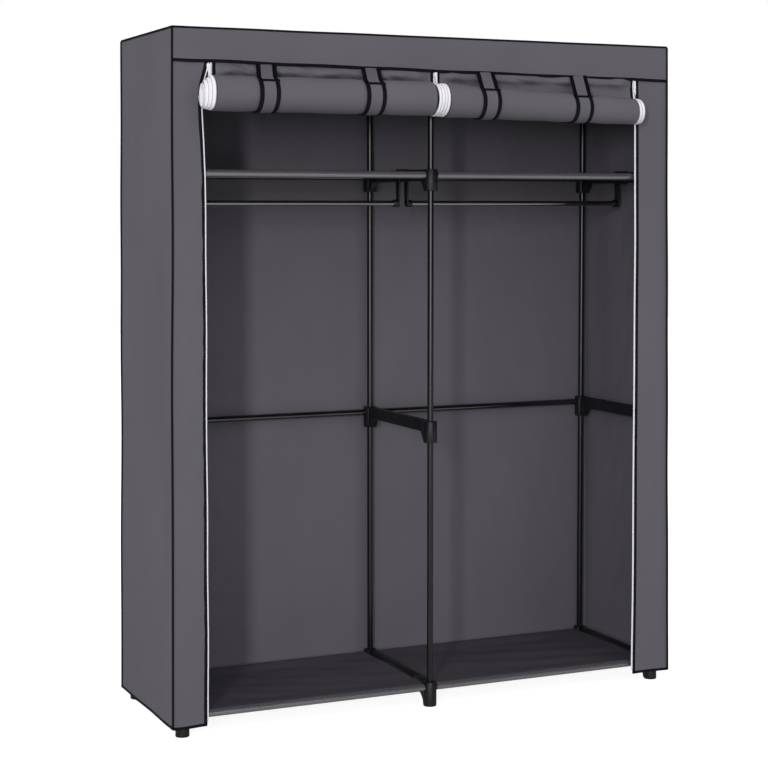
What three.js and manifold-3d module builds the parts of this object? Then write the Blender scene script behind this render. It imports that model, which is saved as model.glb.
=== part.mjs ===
// A free-standing clothes wardrobe: a frame of steel tubes in moulded plastic arms, two fabric
// shelves in each bay, two hanging rods, a sewn fabric cover and two doors rolled up in straps.
// Millimetres, X to the right, Y to the back, Z up. The origin is on the floor, under the middle.
import * as THREE from 'three';
import { mergeVertices } from 'three/addons/utils/BufferGeometryUtils.js';
import Module from 'manifold-3d';

const wasm = await Module();
wasm.setup();

// Driving dimensions of the whole wardrobe
const coverWidth = 1400;
const coverDepth = 430;
const coverHeight = 1740;
const hemHeight = 25;
const valanceHeight = 82;
const stripWidth = 88;

// Cloth and fits
const cloth = 1.2;
const fit = 0.3;
const coverRoom = 1.3;
const cutOverrun = 5;

// Tubes
const postDiameter = 16;
const tubeDiameter = 16;
const rodDiameter = 14;
const tubeWall = 1;

// Side arms: a beam between two sleeves, with gussets below
const sleeveDiameter = 35;
const sleeveHeight = 56;
const beamHeight = 30;
const beamWidth = 20;
const beamWall = 2.5;
const beamPockets = 3;
const tubeBelowTop = 15;
const socketShare = 0.65;
const gussetRun = 22;
const gussetToe = 4;
const footGussetRun = 60;
const footFloor = 8;
const capWall = 5;

// Heights of the lower tubes over the floor, the room from the top shelf's tubes up to the roof's
// tubes, how far the rods hang below the top shelf's tubes, and how far in front of the middle
const bottomTubeHeight = 49.5;
const midTubeHeight = 736;
const topShelfRoom = 334;
const rodDrop = 72.5;
const rodForward = 20;

// Brackets of the hanging rods
const bracketWall = 4;
const bracketTop = 3;
const bracketWidth = 24;
const cupWall = 2.6;
const cupLength = 12;

// Rolled doors
const rollDiameter = 87;
const rollStandOff = 9.5;
const rollTurns = 7;
const rollTurnGap = 1.2;
const leftOverhang = 11.5;
const centreOverhang = 33;
const rightSetBack = 44;
const headerShow = 34;
const headerBendAbove = 3.5;

// Straps round the rolls
const strapWidth = 51;
const strapTail = 42;
const strapCentreShares = { left: [0.209, 0.67], right: [0.203, 0.658] };

// Zips: the bead on a cloth edge, the wound bands on the rolls and the sliders
const zipBead = 3.6;
const woundTube = 7.4;
const woundPitch = 8;
const rollGap = 4;
const woundTurns = { left: 2, centre: 4, right: 2 };
const woundDropPerTurn = { left: 3.6, centre: 0.25, right: 0.25 };
const sliderWidth = 14;
const sliderLength = 20;
const sliderThickness = 6.6;
const sliderDrop = 3;
const sliderWeb = 1.2;
const pullWidth = 8;
const pullLength = 26;
const pullThickness = 2;

// A sharp bend of a cloth band is mitred no further than this share allows
const mitreShare = 0.5;

// Round parts are drawn with these many steps
const sleeveSteps = 20;
const tubeSteps = 12;
const loopSteps = 14;
const rollStepsPerTurn = 20;
const strapSteps = 22;
const gussetSteps = 6;
const beadSteps = 6;
const woundStepsPerTurn = 20;
const woundSides = 6;

// Colours
const clothColour = 0x67636a;
const shelfColour = 0x35323a;
const plasticColour = 0x1b191d;
const steelColour = 0x1d1c20;
const zipColour = 0xece9f2;

// Places worked out from the sizes above
const postRadius = postDiameter / 2;
const tubeRadius = tubeDiameter / 2;
const rodRadius = rodDiameter / 2;
const sleeveRadius = sleeveDiameter / 2;
const rollRadius = rollDiameter / 2;
const halfWidth = coverWidth / 2;
const halfDepth = coverDepth / 2;
const roofUnder = coverHeight - cloth;
const valanceBottom = coverHeight - valanceHeight;
const stripFront = -halfDepth + cloth + fit;
const stripBack = stripFront + cloth;
const postX = halfWidth - cloth - coverRoom - sleeveRadius;
const postY = -stripBack - coverRoom - sleeveRadius;
const socketDepth = (sleeveRadius - postRadius - fit) * socketShare;
const zipX = halfWidth - stripWidth - zipBead / 2 - fit - sliderWeb / 2;
const rollBack = stripFront - rollStandOff;
const rollY = rollBack - rollRadius;
const rollZ = valanceBottom - headerShow - rollRadius;
const headerEdge = sliderWidth / 2 + fit;
const topArmTop = roofUnder - fit;
const shelfTubeHeight = topArmTop - tubeBelowTop - topShelfRoom;
const rodHeight = shelfTubeHeight - rodDrop;

// The origin is under the middle of the whole, whose front is the front of the rolls
const originY = (halfDepth + rollY - rollRadius) / 2;

const columns = { left: -postX, centre: 0, right: postX };
const rows = { front: -postY, back: postY };
const bays = { left: [columns.left, columns.centre], right: [columns.centre, columns.right] };

// Arm levels by the height of the tubes that they carry; the top ones hold up the roof
const armTops = {
  foot: bottomTubeHeight + tubeBelowTop,
  mid: midTubeHeight + tubeBelowTop,
  shelf: shelfTubeHeight + tubeBelowTop,
  top: topArmTop,
};
const tubeRows = { foot: ['front', 'back'], mid: ['back'], shelf: ['front', 'back'], top: ['front', 'back'] };

const group = new THREE.Group();
const frame = new THREE.Group();
frame.position.y = -originY;
group.add(frame);

function addPart(name, geometry, material) {
  const mesh = new THREE.Mesh(geometry, material);
  mesh.name = name;
  frame.add(mesh);
  return mesh;
}

// Materials

function fabric(colour) {
  return new THREE.MeshStandardMaterial({ color: colour, roughness: 0.9, metalness: 0 });
}

function plastic() {
  return new THREE.MeshStandardMaterial({ color: plasticColour, roughness: 0.5, metalness: 0 });
}

function enamelledSteel() {
  return new THREE.MeshStandardMaterial({ color: steelColour, roughness: 0.35, metalness: 0.6 });
}

function zipNylon() {
  return new THREE.MeshStandardMaterial({ color: zipColour, roughness: 0.45, metalness: 0 });
}

// Geometry helpers

function toSolid(geometry) {
  const plain = geometry.clone();
  plain.deleteAttribute('normal');
  plain.deleteAttribute('uv');
  const merged = mergeVertices(plain);
  const vertProperties = new Float32Array(merged.attributes.position.array);
  const triVerts = new Uint32Array(merged.index.array);
  return new wasm.Manifold(new wasm.Mesh({ numProp: 3, vertProperties, triVerts }));
}

function toGeometry(solid) {
  const mesh = solid.getMesh();
  const geometry = new THREE.BufferGeometry();
  geometry.setAttribute('position', new THREE.BufferAttribute(new Float32Array(mesh.vertProperties), 3));
  geometry.setIndex(new THREE.BufferAttribute(new Uint32Array(mesh.triVerts), 1));
  geometry.computeVertexNormals();
  return geometry;
}

function box(low, high) {
  const size = high.map((value, axis) => value - low[axis]);
  const geometry = new THREE.BoxGeometry(...size);
  return geometry.translate(...high.map((value, axis) => (value + low[axis]) / 2));
}

function circleOutline(radius) {
  return new THREE.Shape().absarc(0, 0, radius, 0, Math.PI * 2);
}

// A disc of the given radius stretched along Z from its low end to its high end
function uprightRod(radius, steps, low, high) {
  const geometry = new THREE.ExtrudeGeometry(circleOutline(radius), {
    depth: high - low,
    bevelEnabled: false,
    curveSegments: steps / 2,
  });
  return geometry.translate(0, 0, low);
}

function uprightTube(radius, wall, low, high) {
  const outline = circleOutline(radius);
  outline.holes.push(new THREE.Path().absarc(0, 0, radius - wall, 0, Math.PI * 2, true));
  const geometry = new THREE.ExtrudeGeometry(outline, {
    depth: high - low,
    bevelEnabled: false,
    curveSegments: tubeSteps / 2,
  });
  return geometry.translate(0, 0, low);
}

// Turns what was built along Z so that it lies along X, with its outline in the Y and Z plane
function alongX(geometry) {
  const turn = new THREE.Matrix4().makeBasis(
    new THREE.Vector3(0, 1, 0),
    new THREE.Vector3(0, 0, 1),
    new THREE.Vector3(1, 0, 0),
  );
  return geometry.applyMatrix4(turn);
}

// An outline in the Y and Z plane, stretched along X
function stretchX(outline, low, high, steps) {
  const geometry = new THREE.ExtrudeGeometry(outline, {
    depth: high - low,
    bevelEnabled: false,
    curveSegments: steps / 2,
  });
  return alongX(geometry.translate(0, 0, low));
}

function outlineOf(points) {
  return new THREE.Shape(points.map(([x, y]) => new THREE.Vector2(x, y)));
}

// The outline of a band of even thickness along a line of points, mitred where the line bends
function bandOutline(points, thickness) {
  const line = points.map(([x, y]) => new THREE.Vector2(x, y));
  const sides = line.map((point, i) => {
    const before = line[Math.max(i - 1, 0)];
    const after = line[Math.min(i + 1, line.length - 1)];
    const into = point.clone().sub(before).normalize();
    const out = after.clone().sub(point).normalize();
    const leg = out.lengthSq() > 0 ? out.clone() : into.clone();
    const along = into.add(out).normalize();
    const across = new THREE.Vector2(-along.y, along.x);
    const square = Math.abs(along.dot(leg));
    const mitre = thickness / 2 / Math.max(square, mitreShare);
    return [point.clone().addScaledVector(across, mitre), point.clone().addScaledVector(across, -mitre)];
  });
  return new THREE.Shape([...sides.map((s) => s[0]), ...sides.map((s) => s[1]).reverse()]);
}

// Side arms

// The beam with its gussets, drawn in the Y and Z plane from the front sleeve to the back one
function armOutline(top, run, curved) {
  const bottom = top - sleeveHeight;
  const under = top - beamHeight;
  const inner = postY - sleeveRadius;
  const toe = inner - gussetToe;
  const heel = inner - run;
  const steps = curved ? gussetSteps : 1;
  const gusset = Array.from({ length: steps + 1 }, (_, i) => {
    const turn = (i / steps) * (Math.PI / 2);
    const out = curved ? Math.sin(turn) : i / steps;
    const down = curved ? 1 - Math.cos(turn) : i / steps;
    return [heel + (toe - heel) * out, under + (bottom - under) * down];
  });
  const back = [...gusset, [postY, bottom], [postY, top]];
  return outlineOf([...back, ...back.map(([y, z]) => [-y, z]).reverse()]);
}

// Hollows on the underside of the beam, with ribs between them
function beamHollows(top, run) {
  const reach = postY - sleeveRadius - run - beamWall;
  const cell = (reach * 2 + beamWall) / beamPockets;
  return Array.from({ length: beamPockets }, (_, i) => {
    const start = -reach + cell * i;
    return box(
      [-beamWidth / 2 + beamWall, start, top - beamHeight - cutOverrun],
      [beamWidth / 2 - beamWall, start + cell - beamWall, top - beamWall],
    );
  });
}

function sideArm(level, side) {
  const top = armTops[level];
  const bottom = level === 'foot' ? 0 : top - sleeveHeight;
  const run = level === 'foot' ? footGussetRun : gussetRun;
  const outline = armOutline(top, run, level === 'foot');
  let solid = toSolid(stretchX(outline, -beamWidth / 2, beamWidth / 2, gussetSteps));
  const sleeve = uprightRod(sleeveRadius, sleeveSteps, bottom, top);
  for (const y of Object.values(rows)) {
    solid = solid.add(toSolid(sleeve.clone().translate(0, y, 0)));
  }
  const boreLow = level === 'foot' ? footFloor : bottom - cutOverrun;
  const boreHigh = level === 'top' ? top - capWall : top + cutOverrun;
  const bore = uprightRod(postRadius + fit, tubeSteps, boreLow, boreHigh);
  for (const y of Object.values(rows)) {
    solid = solid.subtract(toSolid(bore.clone().translate(0, y, 0)));
  }
  const sockets = { left: [1], centre: [-1, 1], right: [-1] }[side];
  for (const row of tubeRows[level]) {
    for (const way of sockets) {
      const ends = [way * (sleeveRadius - socketDepth), way * (sleeveRadius + cutOverrun)];
      const socket = alongX(uprightRod(tubeRadius + fit, tubeSteps, Math.min(...ends), Math.max(...ends)));
      solid = solid.subtract(toSolid(socket.translate(0, rows[row], top - tubeBelowTop)));
    }
  }
  for (const hollow of beamHollows(top, run)) {
    solid = solid.subtract(toSolid(hollow));
  }
  return toGeometry(solid);
}

for (const level of Object.keys(armTops)) {
  for (const [side, x] of Object.entries(columns)) {
    addPart(`${level}_arm_${side}`, sideArm(level, side).translate(x, 0, 0), plastic());
  }
}

// Posts stand in the feet, pass through the arms and end under the caps of the top arms
for (const [row, y] of Object.entries(rows)) {
  for (const [side, x] of Object.entries(columns)) {
    const post = uprightTube(postRadius, tubeWall, footFloor + fit, topArmTop - capWall - fit);
    addPart(`post_${row}_${side}`, post.translate(x, y, 0), enamelledSteel());
  }
}

// Cross tubes plug into the sockets of the sleeves
const tubeLevelNames = { foot: 'bottom', mid: 'mid', shelf: 'shelf', top: 'top' };
const tubeEnd = sleeveRadius - socketDepth + fit;
for (const level of Object.keys(armTops)) {
  for (const row of tubeRows[level]) {
    for (const [bay, [left, right]] of Object.entries(bays)) {
      const tube = alongX(uprightTube(tubeRadius, tubeWall, left + tubeEnd, right - tubeEnd));
      const name = `${tubeLevelNames[level]}_tube_${row}_${bay}`;
      addPart(name, tube.translate(0, rows[row], armTops[level] - tubeBelowTop), enamelledSteel());
    }
  }
}

// Rod brackets: a saddle over the shelf arm, with a leg and a cup for each rod
const cupRadius = rodRadius + fit + cupWall;
const legInner = beamWidth / 2 + fit;
const legOuter = legInner + bracketWall;

function rodBracket(side) {
  const saddleTop = armTops.shelf + fit + bracketTop;
  const half = bracketWidth / 2;
  const shortLeg = armTops.shelf - beamHeight - bracketTop;
  const ways = { left: [1], centre: [-1, 1], right: [-1] }[side];
  let solid = toSolid(box([-legOuter, -half, shortLeg], [legOuter, half, saddleTop]));
  for (const way of ways) {
    const ends = [way * legInner, way * legOuter];
    const leg = box([Math.min(...ends), -half, rodHeight], [Math.max(...ends), half, armTops.shelf]);
    const reach = [way * legInner, way * (legOuter + cupLength)];
    const cup = alongX(uprightRod(cupRadius, sleeveSteps, Math.min(...reach), Math.max(...reach)));
    solid = solid.add(toSolid(leg)).add(toSolid(cup.translate(0, 0, rodHeight)));
    const mouth = [way * legOuter, way * (legOuter + cupLength + cutOverrun)];
    const bore = alongX(uprightRod(rodRadius + fit, tubeSteps, Math.min(...mouth), Math.max(...mouth)));
    solid = solid.subtract(toSolid(bore.translate(0, 0, rodHeight)));
  }
  const slotLow = [-legInner, -half - cutOverrun, shortLeg - cutOverrun];
  const slotHigh = [legInner, half + cutOverrun, saddleTop - bracketTop];
  return toGeometry(solid.subtract(toSolid(box(slotLow, slotHigh))));
}

for (const [side, x] of Object.entries(columns)) {
  addPart(`rod_bracket_${side}`, rodBracket(side).translate(x, -rodForward, 0), plastic());
}

const rodEnd = legOuter + fit;
for (const [bay, [left, right]] of Object.entries(bays)) {
  const rod = alongX(uprightTube(rodRadius, tubeWall, left + rodEnd, right - rodEnd));
  addPart(`hanging_rod_${bay}`, rod.translate(0, -rodForward, rodHeight), enamelledSteel());
}

// Fabric shelves: a sheet over the two tubes of a level, with a sewn loop round each tube
function fabricShelf(height, left, right) {
  const inside = tubeRadius + fit;
  const outside = inside + cloth;
  const start = Math.PI / 2;
  const end = -Math.PI - Math.asin(inside / outside);
  const loop = Array.from({ length: loopSteps + 1 }, (_, i) => {
    const angle = start + (i / loopSteps) * (end - start);
    return [postY + outside * Math.cos(angle), height + outside * Math.sin(angle)];
  });
  const outline = outlineOf([...loop, ...loop.map(([y, z]) => [-y, z]).reverse()].reverse());
  for (const y of Object.values(rows)) {
    outline.holes.push(new THREE.Path().absarc(y, height, inside, 0, Math.PI * 2, true));
  }
  return stretchX(outline, left + sleeveRadius + fit * 2, right - sleeveRadius - fit * 2, loopSteps);
}

for (const [bay, [left, right]] of Object.entries(bays)) {
  addPart(`bottom_shelf_${bay}`, fabricShelf(bottomTubeHeight, left, right), fabric(shelfColour));
  addPart(`top_shelf_${bay}`, fabricShelf(shelfTubeHeight, left, right), fabric(shelfColour));
}

// Cover: roof, valance and back are flat cuts; each side turns the front corner into a strip,
// whose inner edge carries the bead of the zip

function sideOutline(way) {
  const edge = halfWidth - stripWidth;
  const beadRadius = zipBead / 2;
  const start = Math.PI / 2;
  const end = Math.PI * 2 + Math.asin((beadRadius - cloth) / beadRadius);
  const bead = Array.from({ length: beadSteps + 1 }, (_, i) => {
    const angle = start + (i / beadSteps) * (end - start);
    return [edge + beadRadius * Math.cos(angle), stripFront + beadRadius * (1 - Math.sin(angle))];
  });
  const points = [
    [halfWidth, halfDepth - cloth],
    [halfWidth, stripFront],
    ...bead,
    [halfWidth - cloth, stripBack],
    [halfWidth - cloth, halfDepth - cloth],
  ];
  return outlineOf(points.map(([x, y]) => [x * way, y]));
}

function coverSide(way) {
  const geometry = new THREE.ExtrudeGeometry(sideOutline(way), {
    depth: roofUnder - hemHeight,
    bevelEnabled: false,
  });
  return geometry.translate(0, 0, hemHeight);
}

const roof = box([-halfWidth, -halfDepth, roofUnder], [halfWidth, halfDepth, coverHeight]);
const valance = box([-halfWidth, -halfDepth, valanceBottom], [halfWidth, -halfDepth + cloth, roofUnder]);
const backPanel = box([-halfWidth, halfDepth - cloth, hemHeight], [halfWidth, halfDepth, roofUnder]);
addPart('cover_roof', roof, fabric(clothColour));
addPart('cover_valance', valance, fabric(clothColour));
addPart('cover_back', backPanel, fabric(clothColour));
addPart('cover_side_left', coverSide(-1), fabric(clothColour));
addPart('cover_side_right', coverSide(1), fabric(clothColour));

// Rolled doors

// How far each roll of cloth reaches. Both were rolled up a little to the left of their doors: the
// centre band lies on the left end of the right roll and reaches past the middle, so the left roll
// ends short of it, past its own zip at the other end
const bandLength = (side) => woundTurns[side] * woundPitch + woundTube + fit;
const rollSpans = {
  left: [-zipX - leftOverhang, -centreOverhang - rollGap],
  right: [bandLength('centre') - centreOverhang, zipX - rightSetBack],
};

// The cloth of a door as one spiral, whose outer end points up at the back of the roll
function rollOutline() {
  const pitch = cloth + rollTurnGap;
  const steps = rollTurns * rollStepsPerTurn;
  const line = Array.from({ length: steps + 1 }, (_, i) => {
    const turned = i / rollStepsPerTurn;
    const radius = rollRadius - cloth / 2 - pitch * turned;
    const angle = turned * Math.PI * 2;
    return [rollY + radius * Math.cos(angle), rollZ - radius * Math.sin(angle)];
  });
  return bandOutline(line, cloth);
}

// The stretch of the door between the roof's front seam and the roll
const headerLine = [
  [stripFront + cloth / 2, roofUnder - fit],
  [stripFront + cloth / 2, rollZ + rollRadius + headerBendAbove],
  [rollBack - cloth / 2, rollZ + fit * 2],
];

function strapLine() {
  const radius = rollRadius + fit + cloth / 2;
  const start = [stripFront - fit - cloth / 2, valanceBottom - fit - cloth / 2];
  const across = start[0] - rollY;
  const up = start[1] - rollZ;
  const reach = Math.hypot(across, up);
  const meet = Math.atan2(up, across) + Math.acos(radius / reach);
  const arc = Array.from({ length: strapSteps + 1 }, (_, i) => {
    const angle = meet + (i / strapSteps) * (Math.PI * 2 - meet);
    return [rollY + radius * Math.cos(angle), rollZ + radius * Math.sin(angle)];
  });
  const behind = cloth + fit;
  const bend = headerLine[1];
  return [start, ...arc, [bend[0] + behind, bend[1]], [bend[0] + behind, valanceBottom + strapTail]];
}

const headerSpans = {
  left: [-zipX + headerEdge, -headerEdge],
  right: [headerEdge, zipX - headerEdge],
};
const doorSpans = { left: [-zipX, 0], right: [0, zipX] };

for (const side of ['left', 'right']) {
  const roll = stretchX(rollOutline(), ...rollSpans[side], tubeSteps);
  addPart(`door_roll_${side}`, roll, fabric(clothColour));
  const header = stretchX(bandOutline(headerLine, cloth), ...headerSpans[side], tubeSteps);
  addPart(`door_header_${side}`, header, fabric(clothColour));
  const [low, high] = doorSpans[side];
  const places = { left: ['outer', 'inner'], right: ['inner', 'outer'] }[side];
  strapCentreShares[side].forEach((share, i) => {
    const middle = low + (high - low) * share;
    const outline = bandOutline(strapLine(), cloth);
    const strap = stretchX(outline, middle - strapWidth / 2, middle + strapWidth / 2, tubeSteps);
    addPart(`strap_${side}_${places[i]}`, strap, fabric(clothColour));
  });
}

// Wound zip bands: the zip sewn to a door's edge lies in turns beside the cloth of the roll.
// The line starts beside the cloth and each turn lies a pitch further along and a little deeper.
function woundPoint(side, way, from, turned) {
  const radius = rollRadius - cloth - fit - woundTube / 2 - woundDropPerTurn[side] * turned;
  const angle = turned * Math.PI * 2;
  const along = from + way * (woundTube / 2 + fit + woundPitch * turned);
  return new THREE.Vector3(along, rollY + radius * Math.cos(angle), rollZ + radius * Math.sin(angle));
}

function woundBand(side, way, from) {
  const steps = woundTurns[side] * woundStepsPerTurn;
  const rings = Array.from({ length: steps + 1 }, (_, i) => {
    const turned = i / woundStepsPerTurn;
    const angle = turned * Math.PI * 2;
    const centre = woundPoint(side, way, from, turned);
    const outward = new THREE.Vector3(0, Math.cos(angle), Math.sin(angle));
    const beside = new THREE.Vector3(way, 0, 0);
    return Array.from({ length: woundSides }, (_unused, j) => {
      const around = (j / woundSides) * Math.PI * 2;
      return centre
        .clone()
        .addScaledVector(outward, (woundTube / 2) * Math.cos(around))
        .addScaledVector(beside, (woundTube / 2) * Math.sin(around));
    });
  });
  return skin(rings, way);
}

// Joins rings of points into a closed tube with flat ends
function skin(rings, way) {
  const sides = rings[0].length;
  const positions = rings.flat().flatMap((point) => [point.x, point.y, point.z]);
  const index = [];
  const face = (a, b, c) => index.push(...(way > 0 ? [a, c, b] : [a, b, c]));
  for (let i = 0; i + 1 < rings.length; i += 1) {
    for (let j = 0; j < sides; j += 1) {
      const next = (j + 1) % sides;
      face(i * sides + j, i * sides + next, (i + 1) * sides + j);
      face(i * sides + next, (i + 1) * sides + next, (i + 1) * sides + j);
    }
  }
  const last = (rings.length - 1) * sides;
  for (let j = 1; j + 1 < sides; j += 1) {
    face(0, j + 1, j);
    face(last, last + j, last + j + 1);
  }
  const geometry = new THREE.BufferGeometry();
  geometry.setAttribute('position', new THREE.Float32BufferAttribute(positions, 3));
  geometry.setIndex(index);
  geometry.computeVertexNormals();
  return geometry;
}

const woundPlaces = {
  left: [-1, rollSpans.left[0]],
  centre: [-1, rollSpans.right[0]],
  right: [1, rollSpans.right[1]],
};

// The least gap of a band to itself, between points a turn or more apart
function leastGap(side, way, from) {
  const steps = woundTurns[side] * woundStepsPerTurn;
  const line = Array.from({ length: steps + 1 }, (_, i) => {
    return woundPoint(side, way, from, i / woundStepsPerTurn);
  });
  let least = Infinity;
  for (let i = 0; i < line.length; i += 1) {
    for (let j = i + woundStepsPerTurn / 2; j < line.length; j += 1) {
      least = Math.min(least, line[i].distanceTo(line[j]) - woundTube);
    }
  }
  return least;
}

for (const [side, [way, from]] of Object.entries(woundPlaces)) {
  addPart(`zip_wind_${side}`, woundBand(side, way, from), zipNylon());
  console.log(`zip_wind_${side} least gap to itself ${leastGap(side, way, from).toFixed(2)} mm`);
}

// Zip sliders: a body with a channel for the bead on each side that has one, and a pull tab
function zipSlider(channels) {
  const half = sliderThickness / 2;
  const top = valanceBottom - sliderDrop;
  const bottom = top - sliderLength;
  const neck = pullWidth / 2;
  const body = outlineOf([
    [-neck, bottom],
    [neck, bottom],
    [sliderWidth / 2, bottom + sliderLength / 2],
    [sliderWidth / 2, top],
    [-sliderWidth / 2, top],
    [-sliderWidth / 2, bottom + sliderLength / 2],
  ]);
  const upright = new THREE.ExtrudeGeometry(body, { depth: sliderThickness, bevelEnabled: false });
  upright.rotateX(Math.PI / 2).translate(0, half, 0);
  let solid = toSolid(upright);
  const pullTop = bottom + sliderLength / 2;
  const pullLow = pullTop - pullLength;
  const pull = box([-neck, -half - pullThickness, pullLow], [neck, -half, pullTop]);
  const bail = box([-neck / 2, -half - pullThickness, bottom], [neck / 2, 0, pullTop]);
  const hole = alongYHole(pullWidth / 4, pullLow + pullWidth / 2, half + pullThickness + cutOverrun);
  solid = solid.add(toSolid(bail)).add(toSolid(pull)).subtract(toSolid(hole));
  const channelHalf = zipBead / 2 + fit;
  for (const way of channels) {
    const ends = [way * (sliderWeb / 2), way * sliderWidth];
    const low = [Math.min(...ends), -channelHalf, bottom - cutOverrun];
    const high = [Math.max(...ends), channelHalf, top + cutOverrun];
    solid = solid.subtract(toSolid(box(low, high)));
  }
  return toGeometry(solid);
}

// The hole in a pull tab, through its thickness
function alongYHole(radius, height, reach) {
  const geometry = uprightRod(radius, beadSteps * 2, -reach, reach);
  return geometry.rotateX(Math.PI / 2).translate(0, 0, height);
}

const sideSliderY = stripFront + zipBead / 2;
const centreSliderY = -postY - sleeveRadius - fit - sliderThickness / 2;
addPart('zip_slider_left', zipSlider([-1]).translate(-zipX, sideSliderY, 0), zipNylon());
addPart('zip_slider_centre', zipSlider([]).translate(0, centreSliderY, 0), zipNylon());
addPart('zip_slider_right', zipSlider([1]).translate(zipX, sideSliderY, 0), zipNylon());

export default group;
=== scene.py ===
import math
import random

import bmesh
import bpy
import numpy as np
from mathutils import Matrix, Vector


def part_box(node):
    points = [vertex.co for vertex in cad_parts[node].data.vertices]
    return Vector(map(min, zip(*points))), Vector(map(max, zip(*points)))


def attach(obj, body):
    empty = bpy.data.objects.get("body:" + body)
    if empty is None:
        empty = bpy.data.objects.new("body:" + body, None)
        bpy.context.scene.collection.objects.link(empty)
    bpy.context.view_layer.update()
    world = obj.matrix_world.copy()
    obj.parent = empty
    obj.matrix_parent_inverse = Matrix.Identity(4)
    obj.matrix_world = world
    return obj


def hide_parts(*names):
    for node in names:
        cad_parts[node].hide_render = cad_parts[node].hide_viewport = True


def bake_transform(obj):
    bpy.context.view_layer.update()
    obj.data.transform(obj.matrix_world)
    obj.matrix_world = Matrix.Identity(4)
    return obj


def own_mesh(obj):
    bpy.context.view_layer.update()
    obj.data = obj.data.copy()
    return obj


# A free-standing clothes wardrobe: steel tubes in moulded arms, fabric shelves and hanging rods in a
# sewn cover with black piping, and two doors that are rolled up in straps under the valance.
# Everything is in metres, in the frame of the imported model: X to the right, Y to the back, Z up.

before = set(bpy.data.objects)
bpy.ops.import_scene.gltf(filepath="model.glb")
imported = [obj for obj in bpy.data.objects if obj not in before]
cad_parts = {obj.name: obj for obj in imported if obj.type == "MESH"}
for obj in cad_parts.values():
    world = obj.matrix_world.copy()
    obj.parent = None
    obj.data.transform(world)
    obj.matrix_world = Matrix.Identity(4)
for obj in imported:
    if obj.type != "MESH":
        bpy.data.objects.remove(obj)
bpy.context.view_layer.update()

# Places taken from the frame, and the make of the rolls
roof_low, roof_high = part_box("cover_roof")
HALF = roof_high.x
FRONT = roof_low.y
BACK = roof_high.y
TOP = roof_high.z
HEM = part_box("cover_side_left")[0].z
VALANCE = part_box("cover_valance")[0].z
STRIP_SET = 0.0021
STRIP_Y = FRONT + STRIP_SET
SIDES = {"left": -1, "right": 1}
ROWS = ("front", "back")
COLUMNS = {c: sum(p.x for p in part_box(f"post_front_{c}")) / 2 for c in ("left", "centre", "right")}
BAYS = {"left": ("left", "centre"), "right": ("centre", "right")}
ROLL_RADIUS = 0.0435
ROLL_TURNS = 7
ROLL_PITCH = 0.0024
roll_low, roll_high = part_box("door_roll_left")
ROLL_BACK = roll_high.y
ROLL_Y = ROLL_BACK - ROLL_RADIUS
ROLL_Z = roll_low.z + ROLL_RADIUS - ROLL_PITCH / 4

# Cloth and trimmings
CLOTH = 0.0011
PIPING = 0.0027
TAPE_WIDTH = 0.008
TAPE_THICKNESS = 0.0024
FLARE = {"left": 0.0118, "right": 0.0185}

# Where the zip hangs beside each opening, as heights and distances from the middle: straight below,
# and pushed aside where the wound band lies over it
ZIP_LINE = {
    "left": ((HEM, 0.6187), (1.29, 0.6185), (1.385, 0.6192), (1.47, 0.6222), (1.54, 0.6262),
             (1.604, 0.6236), (1.63, 0.615), (1.656, 0.608), (TOP, 0.608)),
    "right": ((HEM, 0.6087), (0.6, 0.6086), (1.2, 0.6072), (1.46, 0.6048), (1.6, 0.603),
              (1.65, 0.6012), (TOP, 0.6012)),
}
ZIP_TO_CLOTH = 0.0026

# Colours, as linear light
CLOTH_COLOUR = (0.09, 0.0835, 0.0992)
SHELF_COLOUR = (0.062, 0.057, 0.07)
SLEEVE_COLOUR = (0.06, 0.056, 0.066)
TAPE_COLOUR = (0.0035, 0.0031, 0.0041)
PLASTIC_COLOUR = (0.0045, 0.004, 0.0052)
STEEL_COLOUR = (0.004, 0.0038, 0.0044)
SCUFF_COLOUR = (0.03, 0.029, 0.031)
ZIP_COLOUR = (0.68, 0.665, 0.7)
# How much of the zip's colour is left in the painted shade on the wound bands' edges, which stands in for the
# shade in the grooves between turns
GROOVE_SHADE_SHARE = 0.45

# How bright the surround and the floor look in the picture, and how much light each gives
SURROUND_LEVELS = (1.0, 1.15)
FLOOR_LEVELS = (0.9, 0.17)

# Lengths of what repeats in the weaves
DOT_PITCH = 0.0032
STITCH_PITCH = 0.0032
TAPE_RIB_PITCH = 0.0009
ZIP_RIB_PITCH = 0.0016


# Materials


def add_node(tree, kind, values=None, **settings):
    """A new node, whose inputs take sockets or plain values."""
    node = tree.nodes.new(kind)
    for key, value in settings.items():
        setattr(node, key, value)
    for key, value in (values or {}).items():
        if isinstance(value, bpy.types.NodeSocket):
            tree.links.new(value, node.inputs[key])
        else:
            node.inputs[key].default_value = value
    return node


def start_look(name, roughness, **sockets):
    material = bpy.data.materials.new(name)
    material.use_nodes = True
    tree = material.node_tree
    shader = tree.nodes["Principled BSDF"]
    shader.inputs["Roughness"].default_value = roughness
    for key, value in sockets.items():
        shader.inputs[key.replace("_", " ")].default_value = value
    return material, tree, shader


def noise(tree, place, scale, detail=3.0, stretch=(1, 1, 1), roughness=0.55):
    mapping = add_node(tree, "ShaderNodeMapping", {"Vector": place, "Scale": stretch})
    values = {"Vector": mapping.outputs[0], "Scale": scale, "Detail": detail, "Roughness": roughness}
    return add_node(tree, "ShaderNodeTexNoise", values).outputs["Fac"]


def maths(tree, operation, a, b=0.0):
    return add_node(tree, "ShaderNodeMath", {0: a, 1: b}, operation=operation).outputs[0]


def shades(tree, factor, colour, spread, low=0.3, high=0.7):
    """The colour from a little darker to a little lighter, as the factor goes from low to high."""
    ramp = add_node(tree, "ShaderNodeValToRGB", {"Fac": factor})
    ends = ramp.color_ramp.elements
    for end, place, share in ((ends[0], low, 1 - spread), (ends[1], high, 1 + spread)):
        end.position = place
        end.color = (*[min(1.0, c * share) for c in colour], 1)
    return ramp.outputs["Color"]


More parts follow.
